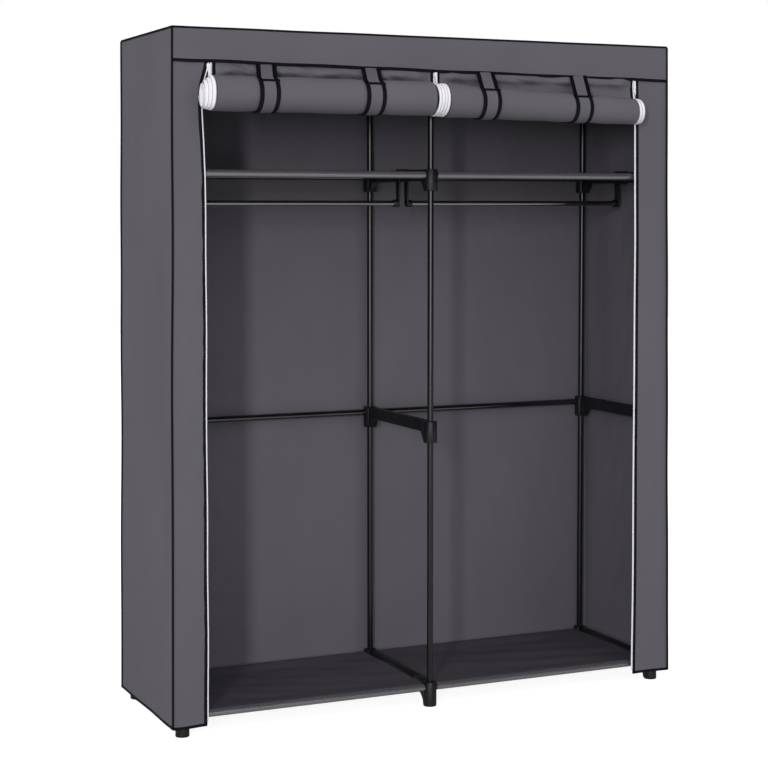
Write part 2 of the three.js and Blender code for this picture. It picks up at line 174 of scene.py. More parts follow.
def mix(tree, factor, a, b, blend="MIX"):
    node = add_node(tree, "ShaderNodeMix", data_type="RGBA", blend_type=blend)
    for index, value in ((0, factor), (6, a), (7, b)):
        if isinstance(value, bpy.types.NodeSocket):
            tree.links.new(value, node.inputs[index])
        else:
            node.inputs[index].default_value = value
    return node.outputs[2]


def split(tree, place):
    """The coordinates of a place."""
    return add_node(tree, "ShaderNodeSeparateXYZ", {"Vector": place}).outputs


def stripes(tree, value, pitch):
    """A wave along one coordinate, with one turn for each pitch."""
    return maths(tree, "SINE", maths(tree, "MULTIPLY", value, 2 * math.pi / pitch))


def spread_about(tree, factor, spread, least):
    """The factor's share of the spread, over the least value."""
    return maths(tree, "ADD", maths(tree, "MULTIPLY", factor, spread), least)


def map_range(tree, value, start, end, low=0.0, high=1.0):
    values = {"Value": value, "From Min": start, "From Max": end, "To Min": low, "To Max": high}
    return add_node(tree, "ShaderNodeMapRange", values).outputs[0]


def link_look(tree, shader, colour, normal, roughness=None):
    tree.links.new(colour, shader.inputs["Base Color"])
    tree.links.new(normal, shader.inputs["Normal"])
    if roughness is not None:
        tree.links.new(roughness, shader.inputs["Roughness"])


def bump(tree, height, distance, strength, below=None):
    values = {"Height": height, "Distance": distance, "Strength": strength}
    if below is not None:
        values["Normal"] = below
    return add_node(tree, "ShaderNodeBump", values).outputs["Normal"]


def flat_place(tree):
    """Where a point is on its cloth before it was hung: metres across and along."""
    return add_node(tree, "ShaderNodeAttribute", attribute_name="flat_place").outputs["Vector"]


def lattice(tree, place, pitch):
    """The small pressed dots of bonded cloth, in staggered rows."""
    parts = split(tree, place)
    waves = []
    for sign in (1, -1):
        swapped = maths(tree, "MULTIPLY", parts[1], sign)
        waves.append(stripes(tree, maths(tree, "ADD", parts[0], swapped), pitch))
    return maths(tree, "MULTIPLY", waves[0], waves[1])


def cloth_look(name, colour, sheen, dull=0.74, shine=0.5, index=1.5):
    """Bonded polyester cloth: pressed dots, fibres, soft creases and a little uneven dye."""
    material, tree, shader = start_look(name, 0.8, Sheen_Weight=sheen, Sheen_Roughness=0.45,
                                        Specular_IOR_Level=shine, IOR=index)
    place = flat_place(tree)
    dye = noise(tree, place, 3.5, 2.0, (1, 0.45, 1))
    fibre = noise(tree, place, 900.0, 2.0, (1, 0.35, 1))
    dots = lattice(tree, place, DOT_PITCH)
    base = shades(tree, dye, colour, 0.055)
    fleck = shades(tree, fibre, (0.5, 0.5, 0.5), 0.12)
    creases = bump(tree, noise(tree, place, 11.0, 4.0, (1, 0.6, 1)), 0.004, 0.22)
    pressed = bump(tree, dots, 0.00016, 0.35, creases)
    haired = bump(tree, fibre, 0.0001, 0.3, pressed)
    colour = mix(tree, 0.5, base, fleck, "OVERLAY")
    link_look(tree, shader, colour, haired, spread_about(tree, dye, 0.16, dull))
    return material


def tape_look(name):
    """Black woven edging: fine ribs across it and the broader waves of its stitches."""
    material, tree, shader = start_look(name, 0.7, Specular_IOR_Level=0.15)
    place = flat_place(tree)
    along = split(tree, place)[1]
    worn = noise(tree, place, 60.0, 3.0)
    stitched = bump(tree, stripes(tree, along, STITCH_PITCH), 0.00025, 0.25)
    ribbed = bump(tree, stripes(tree, along, TAPE_RIB_PITCH), 0.00012, 0.4, stitched)
    link_look(tree, shader, shades(tree, worn, TAPE_COLOUR, 0.25), ribbed)
    return material


def plastic_look(name):
    """Black moulded plastic with a fine grain and faint rubbing."""
    material, tree, shader = start_look(name, 0.4, Specular_IOR_Level=0.42)
    place = add_node(tree, "ShaderNodeTexCoord").outputs["Object"]
    grain = noise(tree, place, 1400.0, 2.0)
    cloud = noise(tree, place, 26.0, 4.0)
    rub = noise(tree, place, 160.0, 5.0, (1, 1, 0.25), 0.7)
    base = shades(tree, cloud, PLASTIC_COLOUR, 0.3)
    colour = mix(tree, map_range(tree, rub, 0.62, 0.8), base, (*SCUFF_COLOUR, 1))
    link_look(tree, shader, colour, bump(tree, grain, 0.00008, 0.35), spread_about(tree, cloud, 0.2, 0.34))
    return material


def steel_look(name, gloss, index):
    """Powder-coated steel tube: black, satin, with a faint orange peel."""
    material, tree, shader = start_look(name, 0.2, Specular_IOR_Level=gloss, IOR=index)
    place = add_node(tree, "ShaderNodeTexCoord").outputs["Object"]
    peel = noise(tree, place, 420.0, 2.0)
    cloud = noise(tree, place, 18.0, 3.0)
    colour = shades(tree, cloud, STEEL_COLOUR, 0.2)
    link_look(tree, shader, colour, bump(tree, peel, 0.00003, 0.15), spread_about(tree, cloud, 0.1, 0.15))
    return material


def zip_look(name, rib, edge=0.0):
    """White nylon: the fine ribs of the coil or of the woven tape, with faint soiling, and where asked,
    painted shade on the tape's edges that stands in for the shade in the grooves between wound turns.
    """
    material, tree, shader = start_look(name, 0.42, Subsurface_Weight=0.12, Subsurface_Scale=0.002)
    place = flat_place(tree)
    parts = split(tree, place)
    soil = noise(tree, place, 45.0, 3.0)
    colour = shades(tree, soil, ZIP_COLOUR, 0.05)
    # Painted shade: the tape darkens towards its edges, standing in for the shade in the grooves between
    # wound turns; edge is how far it darkens
    if edge:
        near = map_range(tree, maths(tree, "ABSOLUTE", parts[0]), 0.3, 0.5, 0.0, edge)
        colour = mix(tree, near, colour, (*[c * GROOVE_SHADE_SHARE for c in ZIP_COLOUR], 1))
    link_look(tree, shader, colour, bump(tree, stripes(tree, parts[1], rib), 0.0003, 0.5))
    return material


def seen_level(tree, seen, unseen):
    """One strength for what the picture sees directly and another for the light that it gives."""
    direct = add_node(tree, "ShaderNodeLightPath").outputs["Is Camera Ray"]
    return map_range(tree, direct, 0.0, 1.0, unseen, seen)


def floor_look(name):
    material, tree, shader = start_look(name, 0.9, Specular_IOR_Level=0.0, Base_Color=(0.3, 0.3, 0.3, 1),
                                        Emission_Color=(1, 1, 1, 1))
    tree.links.new(seen_level(tree, *FLOOR_LEVELS), shader.inputs["Emission Strength"])
    return material


COVER = cloth_look("cover_cloth_look", CLOTH_COLOUR, 0.03, shine=0.1)
DOOR = cloth_look("door_cloth_look", CLOTH_COLOUR, 0.03, 0.5, 0.25)
SHELF = cloth_look("shelf_cloth_look", SHELF_COLOUR, 0.0, shine=0.1)
SLEEVE = cloth_look("shelf_sleeve_look", SLEEVE_COLOUR, 0.0, 0.2, 1.0, 1.9)
TAPE = tape_look("black_tape_look")
PLASTIC = plastic_look("moulded_plastic_look")
STEEL = steel_look("black_steel_look", 0.5, 1.5)
CROSS_STEEL = steel_look("cross_tube_steel_look", 1.0, 1.6)
ROD_STEEL = steel_look("rod_steel_look", 1.0, 2.3)
ZIP = zip_look("zip_nylon_look", ZIP_RIB_PITCH)
# The wound bands' zip look carries painted shade on the tape's edges, for the grooves between turns
GROOVE_SHADED_WOUND_ZIP = zip_look("wound_zip_groove_shade_look", ZIP_RIB_PITCH, 0.9)
FLOOR = floor_look("floor_look")


# Mesh building


def piece(name, parts, material, sharp=40, flat=None):
    """One object from parts, each of them points and faces."""
    points, faces, start = [], [], 0
    for part_points, part_faces in parts:
        points.extend([tuple(p) for p in part_points])
        faces.extend([tuple(i + start for i in face) for face in part_faces])
        start += len(part_points)
    mesh = bpy.data.meshes.new(name)
    mesh.from_pydata(points, [], faces)
    mesh.materials.append(material)
    mesh.polygons.foreach_set("use_smooth", [True] * len(faces))
    mesh.set_sharp_from_angle(angle=math.radians(sharp))
    if flat is not None:
        attribute = mesh.attributes.new("flat_place", "FLOAT_VECTOR", "POINT")
        attribute.data.foreach_set("vector", np.asarray(flat, np.float32).ravel())
    obj = bpy.data.objects.new(name, mesh)
    bpy.context.scene.collection.objects.link(obj)
    return obj


def joined(name, made, material, sharp=60):
    """One object from parts that come with their flat places."""
    return piece(name, [m[0] for m in made], material, sharp, np.concatenate([m[1] for m in made]))


def stand_for(obj, node, body="wardrobe"):
    """The piece takes a node's place and moves with its body."""
    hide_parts(node)
    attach(obj, body)


def centre_of(node):
    return [(low + high) / 2 for low, high in zip(*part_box(node))]


def in_order(side, outer, inner):
    """Two edges of a panel from left to right, as seen from its outer face."""
    return (outer, inner) if side == "left" else (inner, outer)


def around(steps):
    return np.linspace(0, 2 * math.pi, steps, endpoint=False)


def rectangle(left, right, low, high):
    return [(left, low), (right, low), (right, high), (left, high)]


def run_along(path):
    """The distance along a path to each of its points."""
    return np.concatenate([[0], np.cumsum(np.linalg.norm(np.diff(path, axis=0), axis=1))])


def unit(vectors):
    return vectors / np.linalg.norm(vectors, axis=1, keepdims=True)


def axes_along(along, across):
    """The unit directions along, across and up at each place of a path."""
    along = unit(along)
    across = np.broadcast_to(np.asarray(across, float), along.shape)
    across = unit(across - along * np.sum(across * along, axis=1, keepdims=True))
    return along, across, np.cross(along, across)


def laid_flat(grid):
    """Metres across and along for each point of a grid, measured over its surface."""
    across = np.linalg.norm(np.diff(grid, axis=1), axis=2)
    along = np.linalg.norm(np.diff(grid, axis=0), axis=2)
    u = np.concatenate([np.zeros((len(grid), 1)), np.cumsum(across, axis=1)], axis=1)
    v = np.concatenate([np.zeros((1, grid.shape[1])), np.cumsum(along, axis=0)], axis=0)
    return np.stack([u, v, np.zeros_like(u)], axis=2)


def sheet_part(grid, thickness):
    """A thin closed sheet round a grid of points, with its flat places."""
    normal = np.cross(np.gradient(grid, axis=1), np.gradient(grid, axis=0))
    normal /= np.linalg.norm(normal, axis=2, keepdims=True)
    rows, columns = grid.shape[:2]
    front = (grid + normal * thickness / 2).reshape(-1, 3)
    back = (grid - normal * thickness / 2).reshape(-1, 3)
    index = np.arange(rows * columns).reshape(rows, columns)
    a, b = index[:-1, :-1].ravel(), index[:-1, 1:].ravel()
    c, d = index[1:, 1:].ravel(), index[1:, :-1].ravel()
    size = rows * columns
    faces = list(zip(a, b, c, d)) + list(zip(a + size, d + size, c + size, b + size))
    rim = np.concatenate([index[0, :-1], index[:-1, -1], index[-1, :0:-1], index[:0:-1, 0]])
    after = np.roll(rim, -1)
    faces += list(zip(after, rim, rim + size, after + size))
    flat = laid_flat(grid).reshape(-1, 3)
    return (np.concatenate([front, back]), faces), np.concatenate([flat, flat])


def sheet(name, grid, material, thickness=CLOTH):
    return joined(name, [sheet_part(grid, thickness)], material)


def rounded_section(half_width, half_thickness, power=3.0, steps=12):
    """The outline of a flat tape with round edges, or of a cord where the halves are alike."""
    cos, sin = np.cos(around(steps)), np.sin(around(steps))
    share = 2 / power
    x = half_width * np.sign(cos) * np.abs(cos) ** share
    y = half_thickness * np.sign(sin) * np.abs(sin) ** share
    return np.stack([x, y], axis=1)


def sweep_part(path, across, section, stretch=1.0):
    """The section carried along the path, its first axis along across. Ends are closed."""
    path = np.asarray(path, float)
    _, across, up = axes_along(np.gradient(path, axis=0), across)
    wide = np.broadcast_to(stretch, len(path))[:, None, None] * section[None, :, :1]
    rings = path[:, None] + across[:, None] * wide + up[:, None] * section[None, :, 1:]
    count, sides = len(path), len(section)
    index = np.arange(count * sides).reshape(count, sides)
    nxt = np.roll(index, -1, axis=1)
    a, b = index[:-1].ravel(), nxt[:-1].ravel()
    c, d = nxt[1:].ravel(), index[1:].ravel()
    faces = list(zip(a, b, c, d))
    faces += [tuple(index[0][::-1]), tuple(index[-1])]
    flat = np.zeros((count, sides, 3))
    flat[:, :, 0] = section[None, :, 0]
    flat[:, :, 1] = run_along(path)[:, None]
    return (rings.reshape(-1, 3), faces), flat.reshape(-1, 3)


def sweeps(name, runs, section, material, sharp=60):
    """One piece from several swept runs, each a path and the direction across it."""
    return joined(name, [sweep_part(path, across, section) for path, across in runs], material, sharp)


def trim(name, runs, section):
    """Black piping or tape that stays on the cover."""
    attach(sweeps(name, runs, section, TAPE), "wardrobe")


def line(start, end, steps):
    return np.linspace(np.asarray(start, float), np.asarray(end, float), steps)


def lathe_part(profile, centre, axis, steps):
    """A closed profile of radius and height turned round an axis through the centre."""
    angles = around(steps)
    a, b, c = np.roll(np.eye(3), -1, axis=0) if axis == "x" else np.eye(3)
    spokes = np.cos(angles)[:, None] * a + np.sin(angles)[:, None] * b
    profile = np.asarray(profile, float)
    points = np.asarray(centre, float) + spokes[:, None] * profile[None, :, :1] + c * profile[None, :, 1:]
    count = len(profile)
    index = np.arange(steps * count).reshape(steps, count)
    nxt = np.roll(index, -1, axis=0)
    corners = (index, nxt, np.roll(nxt, -1, axis=1), np.roll(index, -1, axis=1))
    return points.reshape(-1, 3), list(zip(*[c.ravel() for c in corners]))


def bm_part(bm):
    bm.verts.index_update()
    points = [tuple(v.co) for v in bm.verts]
    faces = [tuple(v.index for v in f.verts) for f in bm.faces]
    bm.free()
    return points, faces


def round_edges(bm, size, segments=2):
    sharp = [e for e in bm.edges if len(e.link_faces) == 2 and e.calc_face_angle(0) > 0.5]
    bmesh.ops.bevel(bm, geom=sharp, offset=size, segments=segments, affect="EDGES", profile=0.5,
                    clamp_overlap=True)


def plate_part(outline, axis, low, high, edge):
    """A flat outline stretched along an axis from low to high, with its edges rounded."""
    places = {
        "x": lambda a, b, c: (c, a, b),
        "y": lambda a, b, c: (a, c, b),
        "z": lambda a, b, c: (a, b, c),
    }[axis]
    bm = bmesh.new()
    face = bm.faces.new([bm.verts.new(places(a, b, low)) for a, b in outline])
    made = bmesh.ops.extrude_face_region(bm, geom=[face])["geom"]
    moved = [v for v in made if isinstance(v, bmesh.types.BMVert)]
    bmesh.ops.translate(bm, verts=moved, vec=places(0, 0, high - low))
    bmesh.ops.recalc_face_normals(bm, faces=bm.faces)
    round_edges(bm, edge)
    return bm_part(bm)


def box_part(low, high, edge):
    return plate_part(rectangle(low[0], high[0], low[1], high[1]), "z", low[2], high[2], edge)


def ripples(u, v, seed, wavelength, lean=0.0, spread=0.5, count=6):
    """A smooth uneven field over a cloth, about one at its highest: waves of like lengths."""
    draw = random.Random(seed)
    total = np.zeros(np.broadcast(u, v).shape)
    for _ in range(count):
        turn = lean + draw.uniform(-spread, spread)
        length = wavelength * draw.uniform(0.65, 1.6)
        phase = draw.uniform(0, 2 * math.pi)
        total += np.sin(2 * math.pi * (u * math.cos(turn) + v * math.sin(turn)) / length + phase)
    return total / count * 1.6


def wave(along, seed, wavelength):
    """The same field along a line."""
    return ripples(along, 0 * along, seed, wavelength, 0, 0.1)


def arch(share, power=0.5):
    """From nought at each end of a run up to one in its middle."""
    return np.clip(np.sin(math.pi * share), 0, 1) ** power


def coons(bottom, top, left, right):
    """A grid between four edges: bottom and top run across, left and right run up."""
    s = np.linspace(0, 1, len(bottom))[None, :, None]
    t = np.linspace(0, 1, len(left))[:, None, None]
    ruled = (1 - t) * bottom[None] + t * top[None] + (1 - s) * left[:, None] + s * right[:, None]
    corners = (1 - s) * (1 - t) * bottom[0] + s * (1 - t) * bottom[-1]
    corners = corners + (1 - s) * t * top[0] + s * t * top[-1]
    return ruled - corners


def edge_calm(count_v, count_u, share=0.08):
    """Nought at the sewn edges of a grid and one inside it."""
    s = np.linspace(0, 1, count_u)[None, :]
    t = np.linspace(0, 1, count_v)[:, None]
    near = np.minimum(np.minimum(s, 1 - s), np.minimum(t, 1 - t)) / share
    near = np.clip(near, 0, 1)
    return near * near * (3 - 2 * near)


# Camera, with the photograph's place and angle, and the studio

CAMERA_PLACE = (-2.064, -4.4065, 1.304)
CAMERA_YAW = 24.39
CAMERA_PITCH = 3.58
CAMERA_LENS = 85.7
CAMERA_SHIFT = -0.08
SENSOR_WIDTH = 36

# The lamps: place, width and height, power, and whether it only shows as highlights
LAMPS = {
    "key": ((-5.7, -8.3, 2.3), (0.7, 2.6), 490, False),
    "low": ((-2.5, -7.5, 0.35), (3.0, 0.6), 30, False),
    "gleam": ((-3.0, -7.6, 1.6), (8.0, 3.0), 300, True),
}
LAMP_AIM = (0, 0, 0.95)
FLOOR_REACH = 14.0


def make_camera():
    data = bpy.data.cameras.new("camera")
    data.lens = CAMERA_LENS
    data.sensor_width = SENSOR_WIDTH
    data.shift_y = CAMERA_SHIFT
    data.clip_start, data.clip_end = 0.1, 60
    camera = bpy.data.objects.new("camera", data)
    yaw, pitch = math.radians(CAMERA_YAW), math.radians(CAMERA_PITCH)
    aim = Vector((math.sin(yaw) * math.cos(pitch), math.cos(yaw) * math.cos(pitch), -math.sin(pitch)))
    camera.location = CAMERA_PLACE
    camera.rotation_mode = "QUATERNION"
    camera.rotation_quaternion = aim.to_track_quat("-Z", "Y")
    bpy.context.scene.collection.objects.link(camera)
    bpy.context.scene.camera = camera


def make_light(name, place, size, power, gleam):
    """A soft lamp, which only lights, or a gleam lamp, which only shows as highlights."""
    data = bpy.data.lights.new(name, "AREA")
    data.energy = power
    data.shape = "RECTANGLE"
    data.size, data.size_y = size
    light = bpy.data.objects.new(name, data)
    light.location = place
    light.rotation_mode = "QUATERNION"
    light.rotation_quaternion = (Vector(LAMP_AIM) - Vector(place)).to_track_quat("-Z", "Y")
    light.visible_diffuse = not gleam
    light.visible_glossy = gleam
    bpy.context.scene.collection.objects.link(light)


def make_studio():
    """A white surround that gives no highlights, two soft lamps and a wide one for the highlights."""
    world = bpy.data.worlds.new("studio")
    world.use_nodes = True
    tree = world.node_tree
    background = tree.nodes["Background"]
    background.inputs["Color"].default_value = (1, 1, 1, 1)
    tree.links.new(seen_level(tree, *SURROUND_LEVELS), background.inputs["Strength"])
    bpy.context.scene.world = world
    world.cycles_visibility.glossy = False
    bpy.context.scene.view_settings.view_transform = "Standard"
    for name, facts in LAMPS.items():
        make_light(name, *facts)
    corners = [(x, y, 0) for x, y in rectangle(-FLOOR_REACH, FLOOR_REACH, -FLOOR_REACH, FLOOR_REACH)]
    floor = piece("floor", [(corners, [(0, 1, 2, 3)])], FLOOR)


# Cover

# How far the corners sway along their height and lean out towards the hem
CORNER_SWAY = 0.0016
CORNER_LEAN = 0.004
# How far behind the corner a front strip starts
CORNER_TUCK = 0.002
# How far a strip's edge sways, and the roof's sag, its creases and its depth under the piping
ZIP_SWAY = 0.0012
ROOF_SAG = 0.005
ROOF_CREASE = 0.0009
ROOF_SET = 0.0006
# Heights of the waves in the lower edges, and their length at the sides
HEM_WAVE = 0.0022
HEM_WAVE_LENGTH = 0.3
BACK_HEM_WAVE = 0.0025
# Points across each hanging panel, points up it, and the seeds of its waves
SIDE_STEPS, STRIP_STEPS, BACK_STEPS = 64, 20, 170
PANEL_ROWS = 240
SIDE_SEED, STRIP_SEED, BACK_SEED = 71, 81, 91
PANEL_Z = np.linspace(HEM, TOP - 0.001, PANEL_ROWS)
# How far the folds of each panel swell, and the finer ones on them
SIDE_FOLDS, STRIP_FOLDS, BACK_FOLDS, FINE_FOLDS = 0.0028, 0.0012, 0.0032, 0.0006


def cover_corner(side, row, z):
    """The cover's corner edge at each height: it leans out a little towards the hem."""
    z = np.asarray(z, float)
    drop = (TOP - z) / (TOP - HEM)
    sign = SIDES[side]
    seed = {"left": 3, "right": 8}[side] + (0 if row == "front" else 20)
    sway = wave(z, seed, 0.55) * CORNER_SWAY * np.sin(math.pi * drop)
    x = sign * (HALF - CLOTH / 2 + FLARE[side] * drop + sway)
    y = (FRONT + CLOTH / 2 if row == "front" else BACK - CLOTH / 2) + sway * 0.6
    lean = CORNER_LEAN * drop**2
    y = y + (-lean if row == "front" else lean)
    return np.stack([x, y, z], axis=-1)


def strip_inner(side, z):
    """The strip's free edge, beside the zip's line."""
    z = np.asarray(z, float)
    sign = SIDES[side]
    heights, places = zip(*ZIP_LINE[side])
    fine = np.linspace(HEM, TOP, 700)
    window = np.hanning(23)
    reach = len(window) // 2
    rough = np.pad(np.interp(fine, heights, places), reach, "edge")
    smooth = np.convolve(rough, window / window.sum(), "valid")
    seed = {"left": 31, "right": 37}[side]
    sway = ZIP_SWAY * wave(z, seed, 0.5) * np.clip((1.4 - z) / 0.3, 0, 1)
    x = sign * (np.interp(z, fine, smooth) + ZIP_TO_CLOTH + sway)
    y = STRIP_Y + 0.0008 * wave(z, seed + 1, 0.4)
    return np.stack([x, y, z], axis=-1)


def make_roof():
    across, deep = 150, 50
    x = np.linspace(-HALF, HALF, across)
    y = np.linspace(FRONT, BACK, deep)
    gx, gy = np.meshgrid(x, y)
    bay = np.abs(np.sin(math.pi * (gx / COLUMNS["right"])))
    span = np.sin(math.pi * (gy - FRONT) / (BACK - FRONT))
    sag = ROOF_SAG * bay * span
    creased = ROOF_CREASE * ripples(gx, gy, 51, 0.16, 0.4, 1.4) * edge_calm(deep, across)
    gz = TOP - CLOTH / 2 - ROOF_SET - sag + creased
    roof = sheet("roof_cloth", np.stack([gx, gy, gz], axis=2), COVER)
    stand_for(roof, "cover_roof")


VALANCE_DROP = 0.012


def valance_edge(x):
    """The valance's lower edge, a little wavy over the straps."""
    x = np.asarray(x, float)
    share = np.clip((HALF - np.abs(x)) / 0.05, 0, 1)
    slope = VALANCE_DROP * (x + HALF) / (2 * HALF)
    z = VALANCE - slope + 0.0014 * wave(x, 61, 0.28) * share
    y = FRONT - 0.0022 * share - 0.0016 * wave(x, 62, 0.22) * share
    return np.stack([x, y, z], axis=-1)


def make_valance():
    across, tall = 260, 20
    bottom = valance_edge(np.linspace(-HALF, HALF, across))
    top = line((-HALF, FRONT + CLOTH / 2, TOP), (HALF, FRONT + CLOTH / 2, TOP), across)
    left = line((-HALF, FRONT, VALANCE), (-HALF, FRONT, TOP), tall)
    right = line((HALF, FRONT, VALANCE - VALANCE_DROP), (HALF, FRONT, TOP), tall)
    grid = coons(bottom, top, left, right)
    u, v = grid[:, :, 0], grid[:, :, 2]
    grid[:, :, 1] -= np.abs(0.0012 * ripples(u, v, 63, 0.2, 0.3, 0.8)) * edge_calm(tall, across, 0.2)
    valance = sheet("valance_cloth", grid, COVER)
    stand_for(valance, "cover_valance")


def hem_run(start, end, seed, steps):
    """A lower edge from start to end, a little wavy between them."""
    run = line(start, end, steps)
    u = np.linalg.norm(run - run[0], axis=1)
    share = arch(np.linspace(0, 1, steps))
    run[:, 2] += HEM_WAVE * wave(u, seed, HEM_WAVE_LENGTH) * share
    return run


def back_hem():
    """The back panel's lower edge."""
    left, right = [cover_corner(side, "back", [HEM])[0] for side in SIDES]
    run = line(left, right, BACK_STEPS)
    u = np.linspace(0, 1, BACK_STEPS)
    run[:, 2] += BACK_HEM_WAVE * wave(u * 1.4, BACK_SEED, 0.4) * arch(u)
    return run


def upright_panel(left, right, seed, across, folds, outward):
    """A hanging panel between two upright edges, with soft upright folds that bulge outwards."""
    bottom = hem_run(left[0], right[0], seed, across)
    grid = coons(bottom, line(left[-1], right[-1], across), left, right)
    flat = laid_flat(grid)
    u, v = flat[:, :, 0], flat[:, :, 1]
    calm = edge_calm(PANEL_ROWS, across, 0.12)
    swell = folds * (0.6 + ripples(u, v * 0.25, seed + 2, 0.2, 0, 0.45))
    fine = FINE_FOLDS * ripples(u, v, seed + 3, 0.06, 0.5, 1.2)
    grid += np.asarray(outward, float) * ((swell + fine) * calm)[:, :, None]
    return grid


def make_side(side):
    sign = SIDES[side]
    front, back = [cover_corner(side, row, PANEL_Z) for row in ROWS]
    grid = upright_panel(*in_order(side, back, front), SIDE_SEED + sign, SIDE_STEPS, SIDE_FOLDS, (sign, 0, 0))
    panel = sheet(f"side_cloth_{side}", grid, COVER)
    stand_for(panel, f"cover_side_{side}")

    corner = front + np.array([0, CORNER_TUCK, 0])
    inner = strip_inner(side, PANEL_Z)
    edges = in_order(side, corner, inner)
    grid = upright_panel(*edges, STRIP_SEED + sign, STRIP_STEPS, STRIP_FOLDS, (0, -1, 0))
    under = np.clip((grid[:, :, 2] - (VALANCE - 0.03)) / 0.03, 0, 1)
    grid[:, :, 1] = grid[:, :, 1] * (1 - under) + np.maximum(grid[:, :, 1], STRIP_Y) * under
    strip = sheet(f"front_strip_cloth_{side}", grid, COVER)
    stand_for(strip, f"cover_side_{side}")


def make_back():
    left, right = [cover_corner(side, "back", PANEL_Z) for side in SIDES]
    grid = coons(back_hem(), line(left[-1], right[-1], BACK_STEPS), left, right)
    gx, gz = grid[:, :, 0], grid[:, :, 2]
    held = np.abs(np.sin(math.pi * gx / COLUMNS["right"]))
    calm = edge_calm(PANEL_ROWS, BACK_STEPS, 0.06)
    swell = BACK_FOLDS * (0.7 + ripples(gx, gz * 0.3, BACK_SEED + 2, 0.26, 0, 0.4)) * (0.35 + 0.65 * held)
    grid[:, :, 1] += (swell + FINE_FOLDS * ripples(gx, gz, BACK_SEED + 3, 0.07, 0.4, 1.2)) * calm
    panel = sheet("back_cloth", grid[:, ::-1], COVER)
    stand_for(panel, "cover_back")


def make_piping():
    """Black corded piping on the corners and round the roof, and folded tape on the free edges."""
    cord = rounded_section(PIPING, PIPING, 2.0, 10)
    z = np.linspace(HEM + 0.001, TOP - 0.002, 200)
    for side, sign in SIDES.items():
        runs = []
        for row, way in (("front", -1), ("back", 1)):
            proud = np.array([sign, way, 0]) * PIPING * 0.6
            runs.append((cover_corner(side, row, z) + proud, (1, 0, 0)))
        trim(f"corner_piping_{side}", runs, cord)
    roof_z = TOP - ROOF_SET
    front_line = line((-HALF, FRONT + CLOTH, roof_z), (HALF, FRONT + CLOTH, roof_z), 120)
    front_line[:, 2] += 0.0006 * wave(front_line[:, 0], 41, 0.3)
    back_line = front_line + np.array([0, BACK - FRONT - 2 * CLOTH, 0])
    runs = [(front_line, (0, 1, 0)), (back_line, (0, 1, 0))]
    for sign in SIDES.values():
        x = sign * (HALF - CLOTH / 2)
        runs.append((line((x, FRONT, roof_z), (x, BACK, roof_z), 60), (1, 0, 0)))
    welt = rounded_section(PIPING * 1.15, PIPING * 1.15, 2.0, 10)
    trim("roof_piping", runs, welt)

    tape = rounded_section(TAPE_WIDTH / 2, TAPE_THICKNESS / 2)
    x = np.linspace(-HALF, HALF, 260)
    edge = valance_edge(x) + np.array([0, 0, TAPE_WIDTH / 2 - 0.001])
    trim("valance_tape", [(edge, (0, 0, 1))], tape)


def make_hems():
    """The folded tape along the lower edges of the sides, strips and back."""
    tape = rounded_section(TAPE_WIDTH / 2, TAPE_THICKNESS / 2)
    lift = np.array([0, 0, TAPE_WIDTH / 2 - 0.0015])
    runs = []
    for side, sign in SIDES.items():
        front, back = [cover_corner(side, row, [HEM])[0] for row in ROWS]
        runs.append(hem_run(*in_order(side, back, front), SIDE_SEED + sign, SIDE_STEPS))
        corner = front + np.array([0, CORNER_TUCK, 0])
        ends = in_order(side, corner, strip_inner(side, [HEM])[0])
        runs.append(hem_run(*ends, STRIP_SEED + sign, STRIP_STEPS))
    runs = [(run + lift, (0, 0, 1)) for run in [*runs, back_hem()]]
    trim("hem_tape", runs, tape)


# Zips

CHAIN_WIDTH = {"left": 0.0037, "right": 0.0054}
CHAIN_THICKNESS = 0.0026
TOOTH_PITCH = 0.0021
TOOTH_SIDES = 8
# The row of teeth across its tape, and half a tooth along its pitch
TEETH_SHARE, TOOTH_SHARE = 0.78, 0.34
STRIP_ZIP_TOP = 1.70


def teeth_part(path, across, width):
    """A row of small raised teeth along a path, with their flat places."""
    path = np.asarray(path, float)
    length = run_along(path)
    count = max(2, int(length[-1] / TOOTH_PITCH))
    at = (np.arange(count) + 0.5) * TOOTH_PITCH
    centre, ahead = [np.stack([np.interp(spot, length, path[:, k]) for k in range(3)], axis=1)
                     for spot in (at, at + TOOTH_PITCH / 4)]
    along, across, up = axes_along(ahead - centre, across)
    bar = rounded_section(width / 2, CHAIN_THICKNESS / 2, 3.0, TOOTH_SIDES)
    half = TOOTH_PITCH * TOOTH_SHARE
    rings = []
    for shift in (-half, half):
        middle = centre[:, None] + along[:, None] * shift
        rings.append(middle + across[:, None] * bar[None, :, :1] + up[:, None] * bar[None, :, 1:])
    points = np.stack(rings, axis=1)
    near = np.arange(TOOTH_SIDES)
    after, far = np.roll(near, -1), near + TOOTH_SIDES
    sides = np.stack([near, after, after + TOOTH_SIDES, far], axis=1)
    base = np.arange(count)[:, None] * 2 * TOOTH_SIDES
    faces = [tuple(face) for side in sides for face in base + side]
    faces += [tuple(face) for cap in (near[::-1], far) for face in base + cap]
    flat = np.zeros((count, 2, TOOTH_SIDES, 3))
    flat[:, :, :, 1] = at[:, None, None]
    return (points.reshape(-1, 3), faces), flat.reshape(-1, 3)


def chain(name, path, across, width):
    """White zip chain: a woven tape with a row of coil teeth on it."""
    tape = rounded_section(width / 2, CHAIN_THICKNESS / 4)
    made = [sweep_part(path, across, tape), teeth_part(path, across, width * TEETH_SHARE)]
    return joined(name, made, ZIP, 50)


